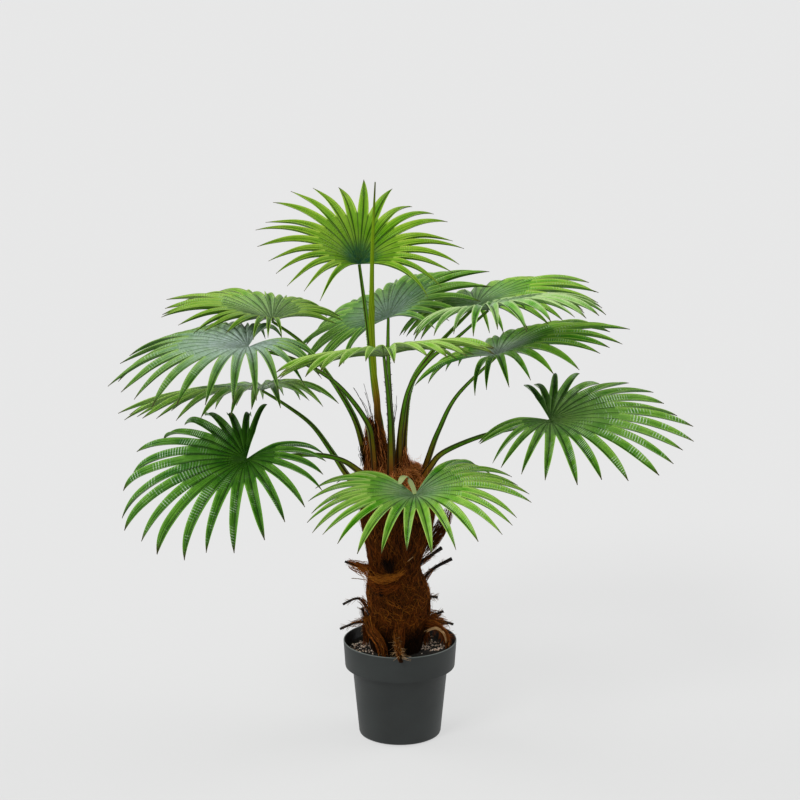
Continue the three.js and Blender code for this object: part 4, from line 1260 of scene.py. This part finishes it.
# How far below the middle of its fan's hub a stem ends.
SEAT_DEPTH = 0.6
for name, points in STEMS.items():
    hub, aim = FANS[name][:2]
    seat = Vector(hub) - SEAT_DEPTH * fan_axes(*aim)[2]
    line = path("stem_" + name, [*points, seat])
    stem = grow("stem_" + name, line, rod_tree, {
        "Foot radius": 6.4 * MM, "Tip radius": 2.5 * MM, "Flare": 2.4 * MM, "Flatness": 0.85,
        "Point": 0.0, "Ribs": 4.0, "Rib depth": -0.08, "Roughness": 0.0, "Rings": 70, "Sides": 24,
        "Material": stem_plastic,
    })
    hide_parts("petiole_" + name)
    teeth = grow("stem_teeth_" + name, line, fringe_tree, {
        "Count": 60, "Length": 2.6 * MM, "Thickness": 1.8 * MM, "Lean": 0.6, "From share": 0.08,
        "To share": 0.8, "Turn step": math.pi, "Foot radius": 5 * MM, "Tip radius": 2.8 * MM,
        "Seed": 71, "Material": tooth_plastic,
    })
    for piece in (stem, teeth):
        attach(piece, "root")


# Studio
# A plain pale floor, lit from within so that shadows stay faint and wide enough to fill the frame
# from any side, and soft white light: an even sky, two broad lights from behind each shoulder and a
# narrower one from the front left.
FLOOR_REACH = 200
floor_mesh = bpy.data.meshes.new("floor")
floor_mesh.from_pydata([(x * FLOOR_REACH, y * FLOOR_REACH, -MM)
                        for x, y in ((-1, -1), (1, -1), (1, 1), (-1, 1))], [], [(0, 1, 2, 3)])
floor = put("floor", floor_mesh)
paper, tree, shader = new_material("matt studio paper")
feed(shader, {"Base Color": linear("#747474"), "Roughness": 1.0, "Specular IOR Level": 0.0,
              "Emission Color": linear("#bababa"), "Emission Strength": 1.0})
floor.data.materials.append(paper)
floor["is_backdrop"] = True

world = bpy.data.worlds.new("studio")
world.use_nodes = True
feed(world.node_tree.nodes["Background"], {"Color": linear("#fafbfb"), "Strength": 0.46})
bpy.context.scene.world = world

for name, source, spread, power in [
    ("light_left", (-1.8, 0.5, 1.3), 50, 1.15),
    ("light_right", (1.9, 0.4, 1.2), 50, 1.1),
    ("light_front", (-0.8, -1.2, 1.3), 20, 1.15),
]:
    lamp = bpy.data.lights.new(name, "SUN")
    lamp.angle = math.radians(spread)
    lamp.energy = power
    light = put(name, lamp)
    light.location = source
    light.rotation_euler = (-Vector(source)).to_track_quat("-Z", "Y").to_euler()

bpy.context.scene.view_settings.view_transform = "Standard"
bpy.context.scene.view_settings.look = "Medium High Contrast"

# The camera stands in front, a little above the crown, and looks down at the pot's axis.
CAMERA_AWAY = 4.0
CAMERA_HEIGHT = 1.573
CAMERA_DOWN = 13.96
FOCAL_LENGTH = 112.95
lens = bpy.data.cameras.new("camera")
lens.lens = FOCAL_LENGTH
lens.sensor_width = 36
lens.clip_end = 2.5 * FLOOR_REACH
camera = put("camera", lens)
camera.location = (0, -CAMERA_AWAY, CAMERA_HEIGHT)
camera.rotation_euler = (math.radians(90 - CAMERA_DOWN), 0, 0)
bpy.context.scene.camera = camera

sizes = {"cad": cad_box, "visual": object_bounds()}
